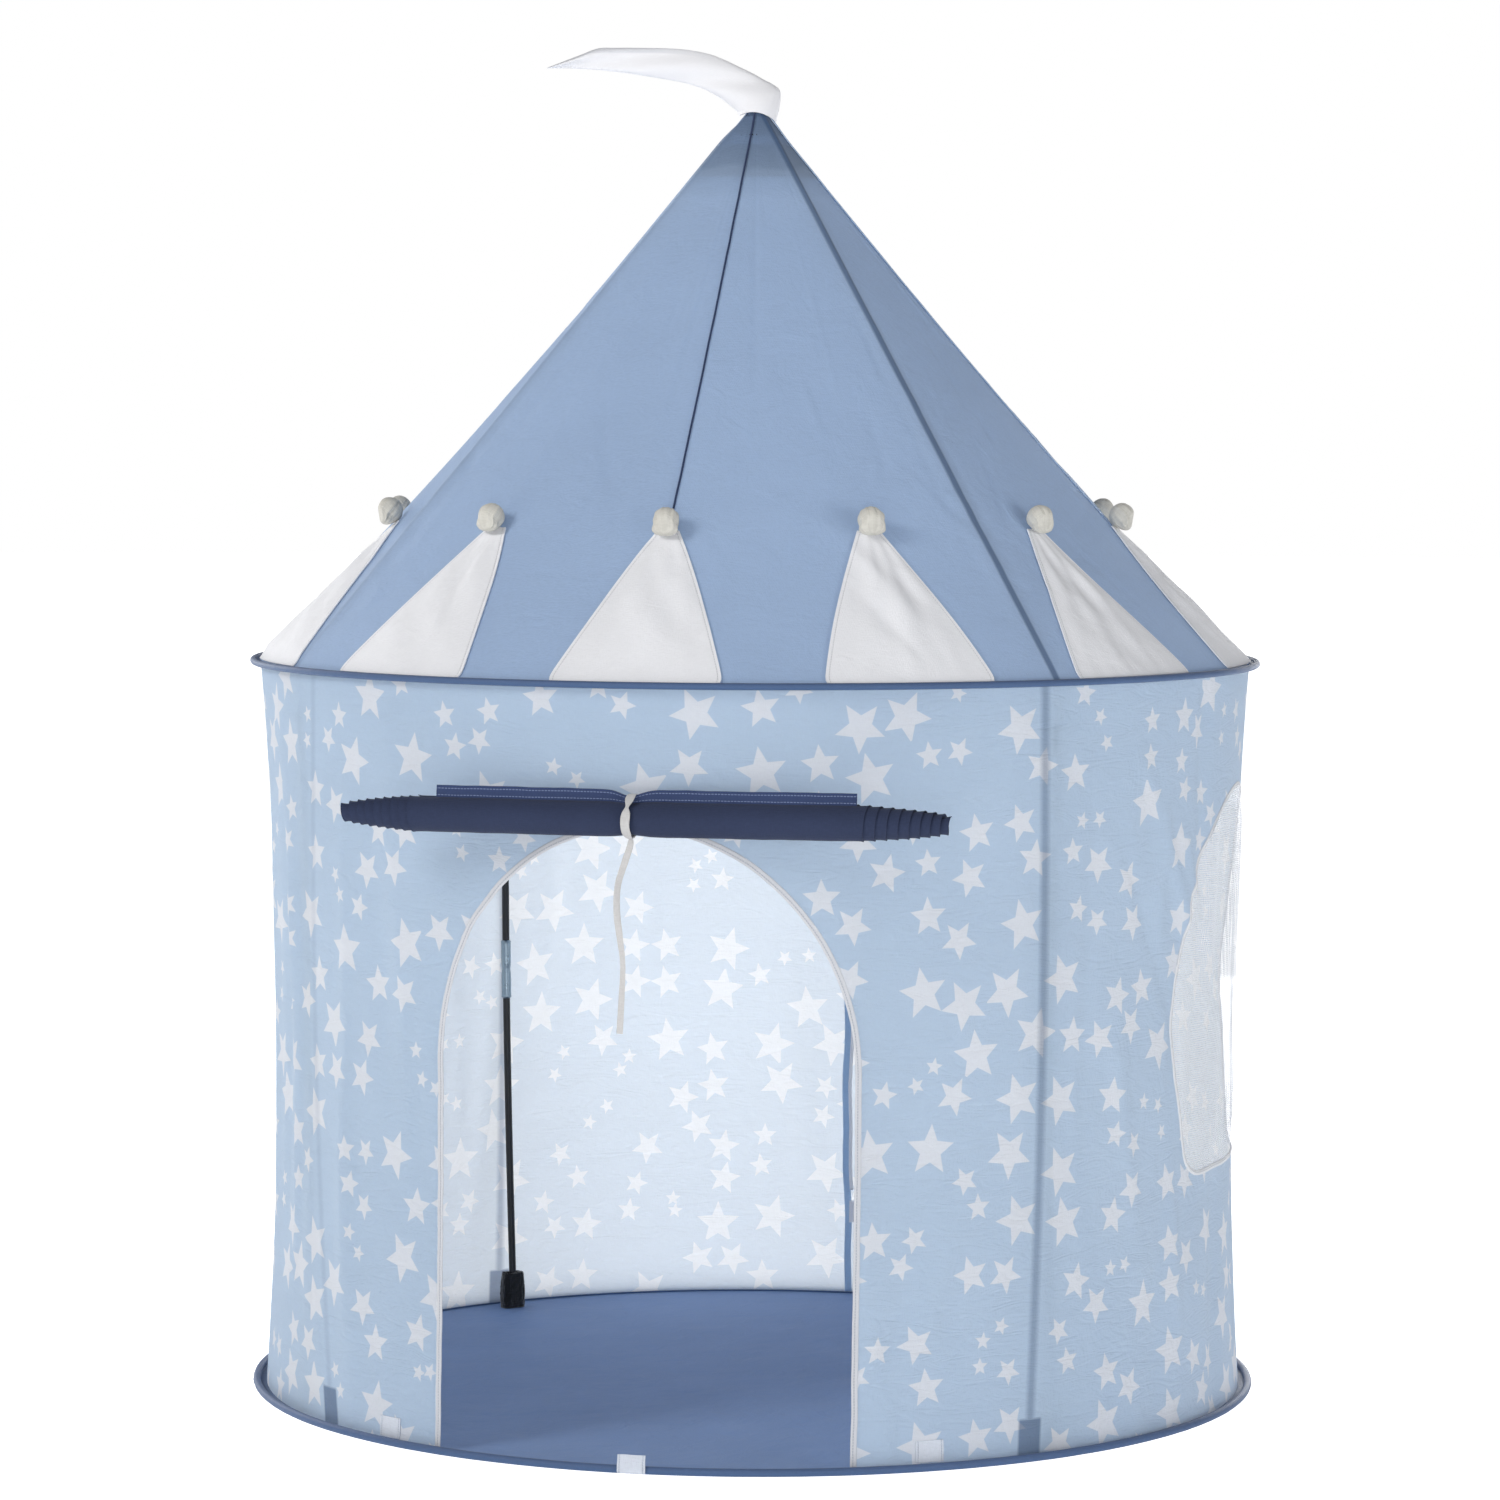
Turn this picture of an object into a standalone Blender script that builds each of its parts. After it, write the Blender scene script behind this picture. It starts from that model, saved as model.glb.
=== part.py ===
"""A child's round play tent: a cylinder of printed cotton under a cone of roof.

Two sprung hoops hold the cloth round, and four bent poles inside hold it up. The front
has an arched doorway with its flap rolled up and tied, each side has an arched mesh
window, and twelve white pennants with a ball at the tip stand round the edge of the roof.

Metres, +Z up. The origin is the middle of the underside of the ground sheet, and the
doorway faces -Y. Angles are in degrees round +Z, from +X.
"""
import math

import bmesh
import bpy
from mathutils import Matrix, Vector

# Driving dimensions
HOOP_RADIUS = 0.521          # centreline of the bottom hoop's sleeve
TOP_HOOP_RADIUS = 0.523      # centreline of the top hoop's sleeve
HOOP_TUBE = 0.004            # half the thickness of a hoop in its sleeve
FLANGE_THICKNESS = 0.001     # sewing flange of a sleeve
FLANGE_INNER = 0.509         # where the bottom flange ends, inside the wall's line
TOP_FLANGE_INNER = 0.512
TUBE_FACETS = 6
TOP_HOOP_HEIGHT = 0.7568     # height of the top hoop's centreline
CLOTH = 0.001                # thickness of one layer of the tent's cloth
GAP = 0.0003                 # space between two pieces that touch
FLOOR_RADIUS = 0.5165
FLOOR_THICKNESS = 0.001

WALL_BOTTOM_RADIUS = 0.511
WALL_TOP_RADIUS = 0.5155
WAIST = 0.0105               # how far the wall is pulled in at half its height
POLE_PUSH = 0.0025           # how far a pole presses the wall back out there
PUSH_REACH = 18.0            # the ridge that this makes is this wide to each side

ROOF_BASE_RADIUS = 0.516
ROOF_TIP_HEIGHT = 1.337      # where the straight sides of the cone would meet
ROOF_TOP_HEIGHT = 1.3185     # where the gores end, under the streamer
ROOF_SAG = 0.0135            # how far a gore is pulled in midway between two poles
SAG_SKEW = 0.8               # below 1 this puts the deepest sag under half height

DOOR_ANGLE = -90.0
DOOR_HALF_WIDTH = 0.2045
DOOR_SPRING = 0.385          # height where the doorway's sides start to curve in
DOOR_TOP = 0.6185
DOOR_ARCH_STEPS = 24
BINDING = 0.0065             # width of the tape round the doorway
BINDING_THICKNESS = 0.0024
BELOW_GROUND = 0.02          # the doorway's cutter starts this far under the wall

WINDOW_BOTTOM = 0.252
WINDOW_WIDEST = 0.400
WINDOW_TOP = 0.634
WINDOW_HALF_WIDTH = 0.171
WINDOW_HALF_BOTTOM = 0.143
WINDOW_CORNER = 0.030
WINDOW_CORNER_STEPS = 4
WINDOW_ARCH_STEPS = 9
WINDOW_BINDING = 0.005
WINDOW_MARGIN = 0.02         # the strip that a window's tape is cut from is this much taller
WINDOW_ROW_STEP = 0.11
NET_STEP_ANGLE = 8.0

DOOR_TAPE_ANGLE = 29.0       # half the width of the strip that a tape is cut from
WINDOW_TAPE_ANGLE = 24.0
WALL_CUTTER_DEPTH = 0.12     # how far each cutter runs through the wall; the depths differ
TAPE_OUTSIDE_DEPTH = 0.14    # so that no two cutters have a face in one plane
TAPE_INSIDE_DEPTH = 0.16

POLE_RADIUS = 0.004
# One pole stands in each quarter between two seams of the roof
POLE_ANGLES = {"back_right": 42.5, "back_left": 137.5, "front_left": 220.0, "front_right": 317.5}
POLE_FOOT_RADIUS = 0.479     # distance of a pole's foot from the tent's axis
POLE_HEAD_RADIUS = 0.4975    # distance of the pole's bend from the tent's axis
POLE_BOW = 0.007             # how far a pole bends outwards between its foot and its bend
POLE_BOW_STEPS = 8
POLE_BEND_RADIUS = 0.080
POLE_BEND_STEPS = 6
FERRULE_FACETS = 12
FERRULE_RADIUS = 0.0055
FERRULE_BORE = 0.0045
FERRULE_LOW = 0.352
FERRULE_LENGTH = 0.066

POCKET_WIDTH = 0.027
POCKET_DEPTH = 0.015
POCKET_HEIGHT = 0.040
POCKET_CORNER = 0.006
POCKET_BORE = 0.0056
POCKET_BORE_FACETS = 16
POCKET_BASE = 0.004          # cloth under the pole's foot

ROLL_RADIUS = 0.018
ROLL_HEIGHT = 0.628
ROLL_LEFT = -0.208           # ends of the even part of the roll
ROLL_RIGHT = 0.222
ROLL_LEFT_TIP = -0.285
ROLL_RIGHT_TIP = 0.312
ROLL_TIP_RADIUS = 0.008
ROLL_TURNS = 6               # turns of cloth that show at each end
ROLL_FACETS = 14
HEM_LEFT = -0.190
HEM_RIGHT = 0.221
HEM_THICKNESS = 0.0025
HEM_HEIGHT = 0.0135
HEM_SUNK = 0.003             # how deep the hem is set in the roll
HEM_PINCH = 0.003            # space between the hem and the tie
TIE_X = 0.002
TIE_WIDTH = 0.009
TIE_THICKNESS = 0.001
TIE_FACETS = 24
TAIL_RADIUS = 0.0032
TAIL_TOP = ROLL_HEIGHT - ROLL_RADIUS - TIE_THICKNESS - 3 * GAP
TAIL_END_HEIGHT = 0.4215
TAIL_STEPS = 18
# The tail's sway: how far to the side of the tie, and how far down from its top
TAIL_SWAY = [(0.000, 0.000), (-0.0003, 0.006), (-0.0055, 0.022), (-0.0125, 0.045), (-0.0135, 0.070),
             (-0.0105, 0.095), (-0.0075, 0.120), (-0.0085, 0.150),
             (-0.0105, TAIL_TOP - TAIL_END_HEIGHT)]

PENNANT_COUNT = 12
PENNANT_HALF_ANGLE = 9.65
PENNANT_STAND_OFF = 0.0022   # middle of a pennant above the middle of the roof cloth
PENNANT_FOOT = 0.0015        # slope distance from the roof's edge to a pennant's base
PENNANT_TIP_HALF_WIDTH = 0.004
PENNANT_ROW_STEP = 0.065
BALL_RADIUS = 0.0135
BALL_SLOPE = 0.192           # slope distance from the roof's edge to a ball
BALL_FACETS = 8
BALL_RINGS = 6

POLE_END_HEIGHT = 1.299      # where a pole's centreline meets the hub
HUB_FACETS = 16
HUB_FACE_GAP = 0.0004
HUB_FACE_REACH = 0.009       # how far the hub's sloping face runs inside a pole's centreline
HUB_TOP_DROP = 0.002         # the hub's top lies this far under the gores' upper edge
SEAM_FIN_WIDTH = 0.008
SEAM_FIN_THICKNESS = 0.0012

STREAMER_ANGLE = 13.5        # the streamer blows to the left of a viewer at this angle
STREAMER_FLATNESS = 0.35
STREAMER_FLAT_REACH = 0.06   # it is round at its mouth, and flat this far along
# The streamer's middle line: across, up, and its radius there
STREAMER_ROUTE = [(0.000, 0.0000, 0.0195), (0.0010, 0.0120, 0.0210), (-0.004, 0.0250, 0.0220),
                  (-0.018, 0.0370, 0.0210), (-0.036, 0.0460, 0.0200), (-0.058, 0.0530, 0.0180),
                  (-0.090, 0.0585, 0.0160), (-0.124, 0.0610, 0.0133), (-0.165, 0.0605, 0.0100),
                  (-0.195, 0.0575, 0.0062), (-0.219, 0.0530, 0.0020)]

STEP_ANGLE = 5.0             # one facet of the round pieces
ROUND_STEPS = 72
ROOF_ROW_STEP = 0.095
TINY = 0.00001               # points nearer than this are one point

WALL_BASE = FLOOR_THICKNESS + FLANGE_THICKNESS + 2 * GAP
WALL_TOP = TOP_HOOP_HEIGHT - FLANGE_THICKNESS / 2 - GAP
ROOF_BASE = TOP_HOOP_HEIGHT + (FLANGE_THICKNESS + CLOTH) / 2 + GAP
POLE_UNDER_ROOF = POLE_RADIUS + CLOTH / 2 + 0.001


def clear_scene():
    """Removes what a new scene holds and makes the tent's two collections."""
    for thing in list(bpy.data.objects):
        bpy.data.objects.remove(thing, do_unlink=True)
    tent = bpy.data.collections.new("play_tent")
    cutters = bpy.data.collections.new("cutters")
    bpy.context.scene.collection.children.link(tent)
    bpy.context.scene.collection.children.link(cutters)
    cutters.hide_render = True
    return tent, cutters


TENT, CUTTERS = clear_scene()


def finish_material(name, colour, roughness, metallic=0.0):
    """A plain Principled material of one colour."""
    material = bpy.data.materials.new(name)
    material.use_nodes = True
    shader = material.node_tree.nodes["Principled BSDF"]
    shader.inputs["Base Color"].default_value = (*colour, 1.0)
    shader.inputs["Roughness"].default_value = roughness
    shader.inputs["Metallic"].default_value = metallic
    return material


WALL_COTTON = finish_material("wall_cotton", (0.45, 0.58, 0.75), 0.9)
ROOF_COTTON = finish_material("roof_cotton", (0.20, 0.28, 0.47), 0.9)
NAVY_TAPE = finish_material("navy_tape", (0.04, 0.06, 0.13), 0.85)
WHITE_COTTON = finish_material("white_cotton", (0.80, 0.80, 0.82), 0.9)
GREY_TAPE = finish_material("grey_tape", (0.60, 0.61, 0.64), 0.9)
MESH_NET = finish_material("mesh_net", (0.82, 0.83, 0.85), 0.8)
FIBREGLASS = finish_material("fibreglass", (0.02, 0.02, 0.02), 0.4)
ZINC = finish_material("zinc", (0.60, 0.60, 0.58), 0.35, 1.0)


def add_object(name, mesh, material, collection=None):
    """One object round a mesh, in the tent's collection unless another is given."""
    thing = bpy.data.objects.new(name, mesh)
    (collection or TENT).objects.link(thing)
    if material:
        mesh.materials.append(material)
    return thing


def mesh_from(bm, name):
    """Turns a bmesh into a mesh and frees it."""
    mesh = bpy.data.meshes.new(name)
    bm.to_mesh(mesh)
    bm.free()
    return mesh


def polar(radius, angle, height):
    """A point at a radius and an angle round the tent's axis."""
    turn = math.radians(angle)
    return Vector((radius * math.cos(turn), radius * math.sin(turn), height))


def in_quarter(angle):
    """How far an angle, and the pole of its quarter, are from the seam before them."""
    turned = angle % 360.0
    seam = 90.0 * (turned // 90.0)
    pole = next(pole for pole in POLE_ANGLES.values() if seam <= pole < seam + 90.0)
    return turned - seam, pole - seam


def wall_radius(angle, height):
    """Middle of the wall's cloth: pulled in to a waist, with a ridge over each pole."""
    t = height / TOP_HOOP_HEIGHT
    straight = WALL_BOTTOM_RADIUS + (WALL_TOP_RADIUS - WALL_BOTTOM_RADIUS) * t
    here, pole = in_quarter(angle)
    ridge = max(0.0, 1.0 - abs(here - pole) / PUSH_REACH) ** 2
    return straight - (WAIST - POLE_PUSH * ridge) * 4 * t * (1 - t)


def away_from_poles(angle):
    """0 over a pole and 1 at a seam, where the roof's cloth is pulled in the most."""
    here, pole = in_quarter(angle)
    share = here / pole if here < pole else (90.0 - here) / (90.0 - pole)
    return math.cos(math.pi / 2 * share) ** 2


def roof_radius(angle, height):
    """Middle of the roof's cloth: straight over the poles, pulled in between them."""
    t = (height - ROOF_BASE) / (ROOF_TIP_HEIGHT - ROOF_BASE)
    t = min(max(t, 0.0), 1.0)
    sag = ROOF_SAG * math.sin(math.pi * t ** SAG_SKEW)
    return ROOF_BASE_RADIUS * (1 - t) - sag * away_from_poles(angle)


ROOF_RISE = ROOF_TIP_HEIGHT - ROOF_BASE
ROOF_SLANT = math.hypot(ROOF_RISE, ROOF_BASE_RADIUS)
SLOPE_UP = ROOF_RISE / ROOF_SLANT
SLOPE_IN = ROOF_BASE_RADIUS / ROOF_SLANT


def roof_point(angle, slope, stand_off=0.0):
    """A point on the roof, by its distance up the slope from the roof's edge."""
    height = ROOF_BASE + slope * SLOPE_UP
    radius = roof_radius(angle, height)
    return polar(radius + stand_off * SLOPE_UP, angle, height + stand_off * SLOPE_IN)


def smooth(thing, sharp_angle=40.0):
    """Shades a round piece smooth and keeps its real edges."""
    thing.data.shade_smooth()
    thing.data.set_sharp_from_angle(angle=math.radians(sharp_angle))
    return thing


def solidify(thing, thickness):
    """Gives an open sheet its thickness, half to each side."""
    shell = thing.modifiers.new("thickness", "SOLIDIFY")
    shell.thickness = thickness
    shell.offset = 0.0
    shell.use_even_offset = True
    return shell


def boolean(thing, cutter, operation="DIFFERENCE"):
    """A cut, a join or an overlap with another object."""
    step = thing.modifiers.new(operation.lower(), "BOOLEAN")
    step.operation = operation
    step.solver = "EXACT"
    step.object = cutter
    return step


def screw_round(thing, steps):
    """Turns an outline once round Z, with its ends joined."""
    screw = thing.modifiers.new("turn", "SCREW")
    screw.steps = steps
    screw.render_steps = steps
    screw.use_merge_vertices = True
    screw.merge_threshold = TINY
    screw.use_smooth_shade = True


def turned(name, profile, material, steps=ROUND_STEPS):
    """A closed outline in radius and height, turned once round Z."""
    bm = bmesh.new()
    corners = [bm.verts.new((radius, 0.0, height)) for radius, height in profile]
    for first, second in zip(corners, corners[1:] + corners[:1]):
        bm.edges.new((first, second))
    thing = add_object(name, mesh_from(bm, name), material)
    screw_round(thing, steps)
    return thing


def turned_solid(name, profile, material, steps):
    """An open outline from the axis, out, down and back to it, turned once round Z."""
    bm = bmesh.new()
    corners = [bm.verts.new((radius, 0.0, height)) for radius, height in profile]
    for first, second in zip(corners, corners[1:]):
        bm.edges.new((first, second))
    thing = add_object(name, mesh_from(bm, name), material)
    screw_round(thing, steps)
    return thing


def sheet(name, columns, rows, place, material, keep=None):
    """A grid of columns and rows, each corner put in its place by a function."""
    bm = bmesh.new()
    across, up = len(columns) - 1, len(rows) - 1
    bmesh.ops.create_grid(bm, x_segments=across, y_segments=up, size=1.0)
    spots = {}
    for corner in bm.verts:
        column = columns[round((corner.co.x + 1) / 2 * across)]
        row = rows[round((corner.co.y + 1) / 2 * up)]
        spots[corner] = (column, row)
    if keep:
        unwanted = []
        for face in bm.faces:
            middle_column = sum(spots[c][0] for c in face.verts) / len(face.verts)
            middle_row = sum(spots[c][1] for c in face.verts) / len(face.verts)
            if not keep(middle_column, middle_row):
                unwanted.append(face)
        bmesh.ops.delete(bm, geom=unwanted, context="FACES")
    for corner in bm.verts:
        corner.co = place(*spots[corner])
    return add_object(name, mesh_from(bm, name), material)


def spread(first, last, step):
    """Even values from first to last, no further apart than the step."""
    count = max(1, math.ceil(abs(last - first) / step - 1e-6))
    return [first + (last - first) * k / count for k in range(count + 1)]


def prism(name, outline, centre, facing, depth):
    """A cutter: a flat outline, across and up, pushed through the wall at an angle."""
    across = Vector((-math.sin(math.radians(facing)), math.cos(math.radians(facing)), 0.0))
    outward = polar(1.0, facing, 0.0)
    bm = bmesh.new()
    corners = [bm.verts.new(across * x + outward * (centre - depth / 2) + Vector((0, 0, z)))
               for x, z in outline]
    face = bm.faces.new(corners)
    pushed = bmesh.ops.extrude_face_region(bm, geom=[face])
    moved = [item for item in pushed["geom"] if isinstance(item, bmesh.types.BMVert)]
    bmesh.ops.translate(bm, verts=moved, vec=outward * depth)
    bmesh.ops.recalc_face_normals(bm, faces=bm.faces)
    cutter = add_object(name, mesh_from(bm, name), None, CUTTERS)
    cutter.hide_render = True
    cutter.display_type = "WIRE"
    return cutter


def door_outline(grow):
    """The doorway: straight sides under half an ellipse, wider all round by grow."""
    width = DOOR_HALF_WIDTH + grow
    rise = DOOR_TOP + grow - DOOR_SPRING
    turns = [math.pi * k / DOOR_ARCH_STEPS for k in range(DOOR_ARCH_STEPS + 1)]
    curve = [(width * math.cos(turn), DOOR_SPRING + rise * math.sin(turn)) for turn in turns]
    return [(width, -BELOW_GROUND)] + curve + [(-width, -BELOW_GROUND)]


def window_outline(grow):
    """A window: rounded lower corners, sides that lean out, and a blunt pointed arch."""
    half = []
    corner = WINDOW_CORNER
    low = WINDOW_HALF_BOTTOM
    for k in range(WINDOW_CORNER_STEPS + 1):
        turn = math.pi / 2 * k / WINDOW_CORNER_STEPS
        half.append((low - corner + corner * math.sin(turn),
                     WINDOW_BOTTOM + corner - corner * math.cos(turn)))
    half.append(((low + 2 * WINDOW_HALF_WIDTH) / 3, (WINDOW_BOTTOM + 2 * WINDOW_WIDEST) / 3))
    rise = WINDOW_TOP - WINDOW_WIDEST
    for k in range(WINDOW_ARCH_STEPS + 1):
        turn = math.pi / 2 * k / WINDOW_ARCH_STEPS
        half.append((WINDOW_HALF_WIDTH * math.cos(turn), WINDOW_WIDEST + rise * math.sin(turn)))
    outline = half + [(-x, z) for x, z in reversed(half[:-1])]
    middle = Vector((0.0, WINDOW_WIDEST))
    grown = []
    for x, z in outline:
        away = Vector((x, z)) - middle
        away = away * (1 + grow / away.length)
        grown.append((away.x + middle.x, away.y + middle.y))
    return grown


def wall_place(angle, height):
    """A point in the middle of the wall's cloth."""
    return polar(wall_radius(angle, height), angle, height)


JAMB_TOP = 0.38              # the panel over the doorway starts here
WALL_ROWS = [WALL_BASE, 0.125, 0.25, JAMB_TOP, 0.505, 0.63, WALL_TOP]
SEAM_GAP = math.degrees(GAP / 2 / WALL_BOTTOM_RADIUS)
WALL_SIDE_ANGLE = 65.0       # the window panels reach this far from the doorway's middle
HEADER_ANGLE = 27.0          # half the width of the panel over the doorway
JAMB_ANGLE = 22.0            # the panels beside the doorway start here, inside its edge


def wall_columns(first, last):
    """Angles from one to the other, with one on the pole between them if there is one."""
    poles = [pole - turn for pole in POLE_ANGLES.values() for turn in (0.0, 360.0)]
    stops = [first] + [pole for pole in poles if first < pole < last] + [last]
    columns = [first]
    for here, beyond in zip(stops, stops[1:]):
        columns += spread(here, beyond, STEP_ANGLE)[1:]
    return columns


def wall_panel(name, first, last, rows=None, columns=None, keep=None):
    """One segment of the wall, with a stitch-wide gap to the next."""
    columns = columns or wall_columns(first + SEAM_GAP, last - SEAM_GAP)
    panel = sheet(name, columns, rows or WALL_ROWS, wall_place, WALL_COTTON, keep)
    solidify(panel, CLOTH)
    return smooth(panel)


def make_walls():
    """The wall's seven segments, with the doorway and the windows cut through."""
    door_cutter = prism("door_cutter", door_outline(BINDING), WALL_BOTTOM_RADIUS, DOOR_ANGLE,
                        WALL_CUTTER_DEPTH)
    header_rows = [JAMB_TOP + GAP] + [height for height in WALL_ROWS if height > JAMB_TOP]
    header = wall_panel("wall_header", DOOR_ANGLE - HEADER_ANGLE, DOOR_ANGLE + HEADER_ANGLE,
                        rows=header_rows)
    boolean(header, door_cutter)
    for side, name in ((-1, "wall_front_left"), (1, "wall_front_right")):
        edge = DOOR_ANGLE + side * (HEADER_ANGLE + SEAM_GAP)
        far = DOOR_ANGLE + side * (WALL_SIDE_ANGLE - SEAM_GAP)
        columns = [DOOR_ANGLE + side * JAMB_ANGLE] + wall_columns(min(edge, far), max(edge, far))

        def beside_header(angle, height, edge=edge, side=side):
            return height < JAMB_TOP or (angle - edge) * side > 0

        panel = wall_panel(name, 0, 0, columns=sorted(columns), keep=beside_header)
        boolean(panel, door_cutter)
    half = WALL_SIDE_ANGLE - 90.0
    for facing, side in ((180.0, "left"), (0.0, "right")):
        cutter = prism("window_cutter_" + side, window_outline(WINDOW_BINDING),
                       WALL_BOTTOM_RADIUS, facing, WALL_CUTTER_DEPTH)
        panel = wall_panel("wall_window_" + side, facing + half, facing - half)
        boolean(panel, cutter)
    wall_panel("wall_back_right", -half, 90.0)
    wall_panel("wall_back_left", 90.0, 180.0 + half)


def tape_round(name, outer, inner, facing, half_angle, rows, material):
    """A tape that follows the edge of an opening, a little thicker than the wall."""
    columns = spread(facing - half_angle, facing + half_angle, STEP_ANGLE)
    tape = sheet(name, columns, rows, wall_place, material)
    solidify(tape, BINDING_THICKNESS)
    outside = prism(name + "_outside", outer, WALL_BOTTOM_RADIUS, facing, TAPE_OUTSIDE_DEPTH)
    boolean(tape, outside, "INTERSECT")
    inside = prism(name + "_inside", inner, WALL_BOTTOM_RADIUS, facing, TAPE_INSIDE_DEPTH)
    boolean(tape, inside)
    return smooth(tape)


def make_openings():
    """The tapes round the doorway and the windows, and the windows' netting."""
    rows = WALL_ROWS[:-2] + [DOOR_TOP + 2 * BINDING]
    tape_round("door_binding", door_outline(BINDING - GAP), door_outline(0.0),
               DOOR_ANGLE, DOOR_TAPE_ANGLE, rows, GREY_TAPE)
    window_rows = spread(WINDOW_BOTTOM - WINDOW_MARGIN, WINDOW_TOP + WINDOW_MARGIN,
                         WINDOW_ROW_STEP)
    for facing, side in ((180.0, "left"), (0.0, "right")):
        tape_round("window_binding_" + side, window_outline(WINDOW_BINDING - GAP),
                   window_outline(0.0), facing, WINDOW_TAPE_ANGLE, window_rows, WHITE_COTTON)
        name = "window_mesh_" + side
        columns = spread(facing - WINDOW_TAPE_ANGLE, facing + WINDOW_TAPE_ANGLE, NET_STEP_ANGLE)
        net = sheet(name, columns, window_rows, wall_place, MESH_NET)
        solidify(net, CLOTH)
        edge = prism(name + "_outline", window_outline(-GAP), WALL_BOTTOM_RADIUS, facing,
                     TAPE_OUTSIDE_DEPTH)
        boolean(net, edge, "INTERSECT")
        smooth(net)


def hoop_outline(radius, flange_inner, middle, flange_middle):
    """A round tube with a flat flange that points inwards, as one closed outline."""
    half = FLANGE_THICKNESS / 2
    upper = math.asin((flange_middle + half - middle) / HOOP_TUBE)
    lower = math.asin((flange_middle - half - middle) / HOOP_TUBE)
    start = math.pi - upper
    end = -math.pi - lower
    points = []
    for k in range(TUBE_FACETS + 1):
        turn = start + (end - start) * k / TUBE_FACETS
        points.append((radius + HOOP_TUBE * math.cos(turn), middle + HOOP_TUBE * math.sin(turn)))
    points.append((flange_inner, flange_middle - half))
    points.append((flange_inner, flange_middle + half))
    return points


def make_hoops():
    """The two sprung hoops in their sleeves."""
    low_flange = FLOOR_THICKNESS + GAP + FLANGE_THICKNESS / 2
    turned("bottom_hoop", hoop_outline(HOOP_RADIUS, FLANGE_INNER, HOOP_TUBE, low_flange), NAVY_TAPE)
    turned("top_hoop", hoop_outline(TOP_HOOP_RADIUS, TOP_FLANGE_INNER, TOP_HOOP_HEIGHT,
                                    TOP_HOOP_HEIGHT), NAVY_TAPE)


def make_floor():
    """The ground sheet, a flat disc."""
    bm = bmesh.new()
    bmesh.ops.create_cone(bm, cap_ends=True, segments=ROUND_STEPS, radius1=FLOOR_RADIUS,
                          radius2=FLOOR_RADIUS, depth=FLOOR_THICKNESS)
    bmesh.ops.translate(bm, verts=bm.verts, vec=(0, 0, FLOOR_THICKNESS / 2))
    add_object("floor_sheet", mesh_from(bm, "floor_sheet"), ROOF_COTTON)


def make_roof():
    """Four gores that meet over the doorway, at the sides and at the back."""
    rows = spread(ROOF_BASE, ROOF_TOP_HEIGHT, ROOF_ROW_STEP)
    for side, ridge in POLE_ANGLES.items():
        first = math.floor(ridge / 90.0) * 90.0
        columns = (spread(first + SEAM_GAP, ridge, STEP_ANGLE)[:-1]
                   + spread(ridge, first + 90.0 - SEAM_GAP, STEP_ANGLE))
        gore = sheet("roof_gore_" + side, columns, rows,
                     lambda angle, height: polar(roof_radius(angle, height), angle, height),
                     ROOF_COTTON)
        solidify(gore, CLOTH)
        smooth(gore)


def tube(name, points, radius, material, radii=None, resolution=2):
    """A round bar along a list of points."""
    curve = bpy.data.curves.new(name, "CURVE")
    curve.dimensions = "3D"
    curve.bevel_depth = radius
    curve.bevel_resolution = resolution
    curve.use_fill_caps = True
    curve.materials.append(material)
    spline = curve.splines.new("POLY")
    spline.points.add(len(points) - 1)
    for k, (spot, place) in enumerate(zip(spline.points, points)):
        spot.co = (*place, 1.0)
        spot.radius = radii[k] if radii else 1.0
    thing = bpy.data.objects.new(name, curve)
    TENT.objects.link(thing)
    return thing


def bowed(foot, start, share):
    """A point on the pole's lower part, which its load bends out against the wall."""
    return foot.lerp(start, share) + Vector((POLE_BOW * math.sin(math.pi * share), 0.0))


def pole_route():
    """A pole's centreline as radius and height: up the wall, round a bend, up the roof."""
    inside = POLE_UNDER_ROOF
    roof_way = Vector((-SLOPE_IN, SLOPE_UP))
    foot = Vector((POLE_FOOT_RADIUS, FLOOR_THICKNESS + GAP + POCKET_BASE + GAP))
    edge = Vector((ROOF_BASE_RADIUS - inside * SLOPE_UP, ROOF_BASE - inside * SLOPE_IN))
    corner_slope = (ROOF_BASE_RADIUS - inside * SLOPE_UP - POLE_HEAD_RADIUS) / SLOPE_IN
    corner = edge + roof_way * corner_slope
    wall_way = (corner - foot).normalized()
    bend = wall_way.angle(roof_way)
    reach = POLE_BEND_RADIUS * math.tan(bend / 2)
    start = corner - wall_way * reach
    end = corner + roof_way * reach
    bisector = (roof_way - wall_way).normalized()
    centre = corner + bisector * (POLE_BEND_RADIUS / math.cos(bend / 2))
    route = [bowed(foot, start, k / POLE_BOW_STEPS) for k in range(POLE_BOW_STEPS + 1)]
    for k in range(1, POLE_BEND_STEPS):
        spoke = (start - centre).lerp(end - centre, k / POLE_BEND_STEPS)
        route.append(centre + spoke.normalized() * POLE_BEND_RADIUS)
    route.append(end)
    last_slope = (POLE_END_HEIGHT - end.y) / SLOPE_UP
    route.append(end + roof_way * last_slope)
    return route


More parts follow.
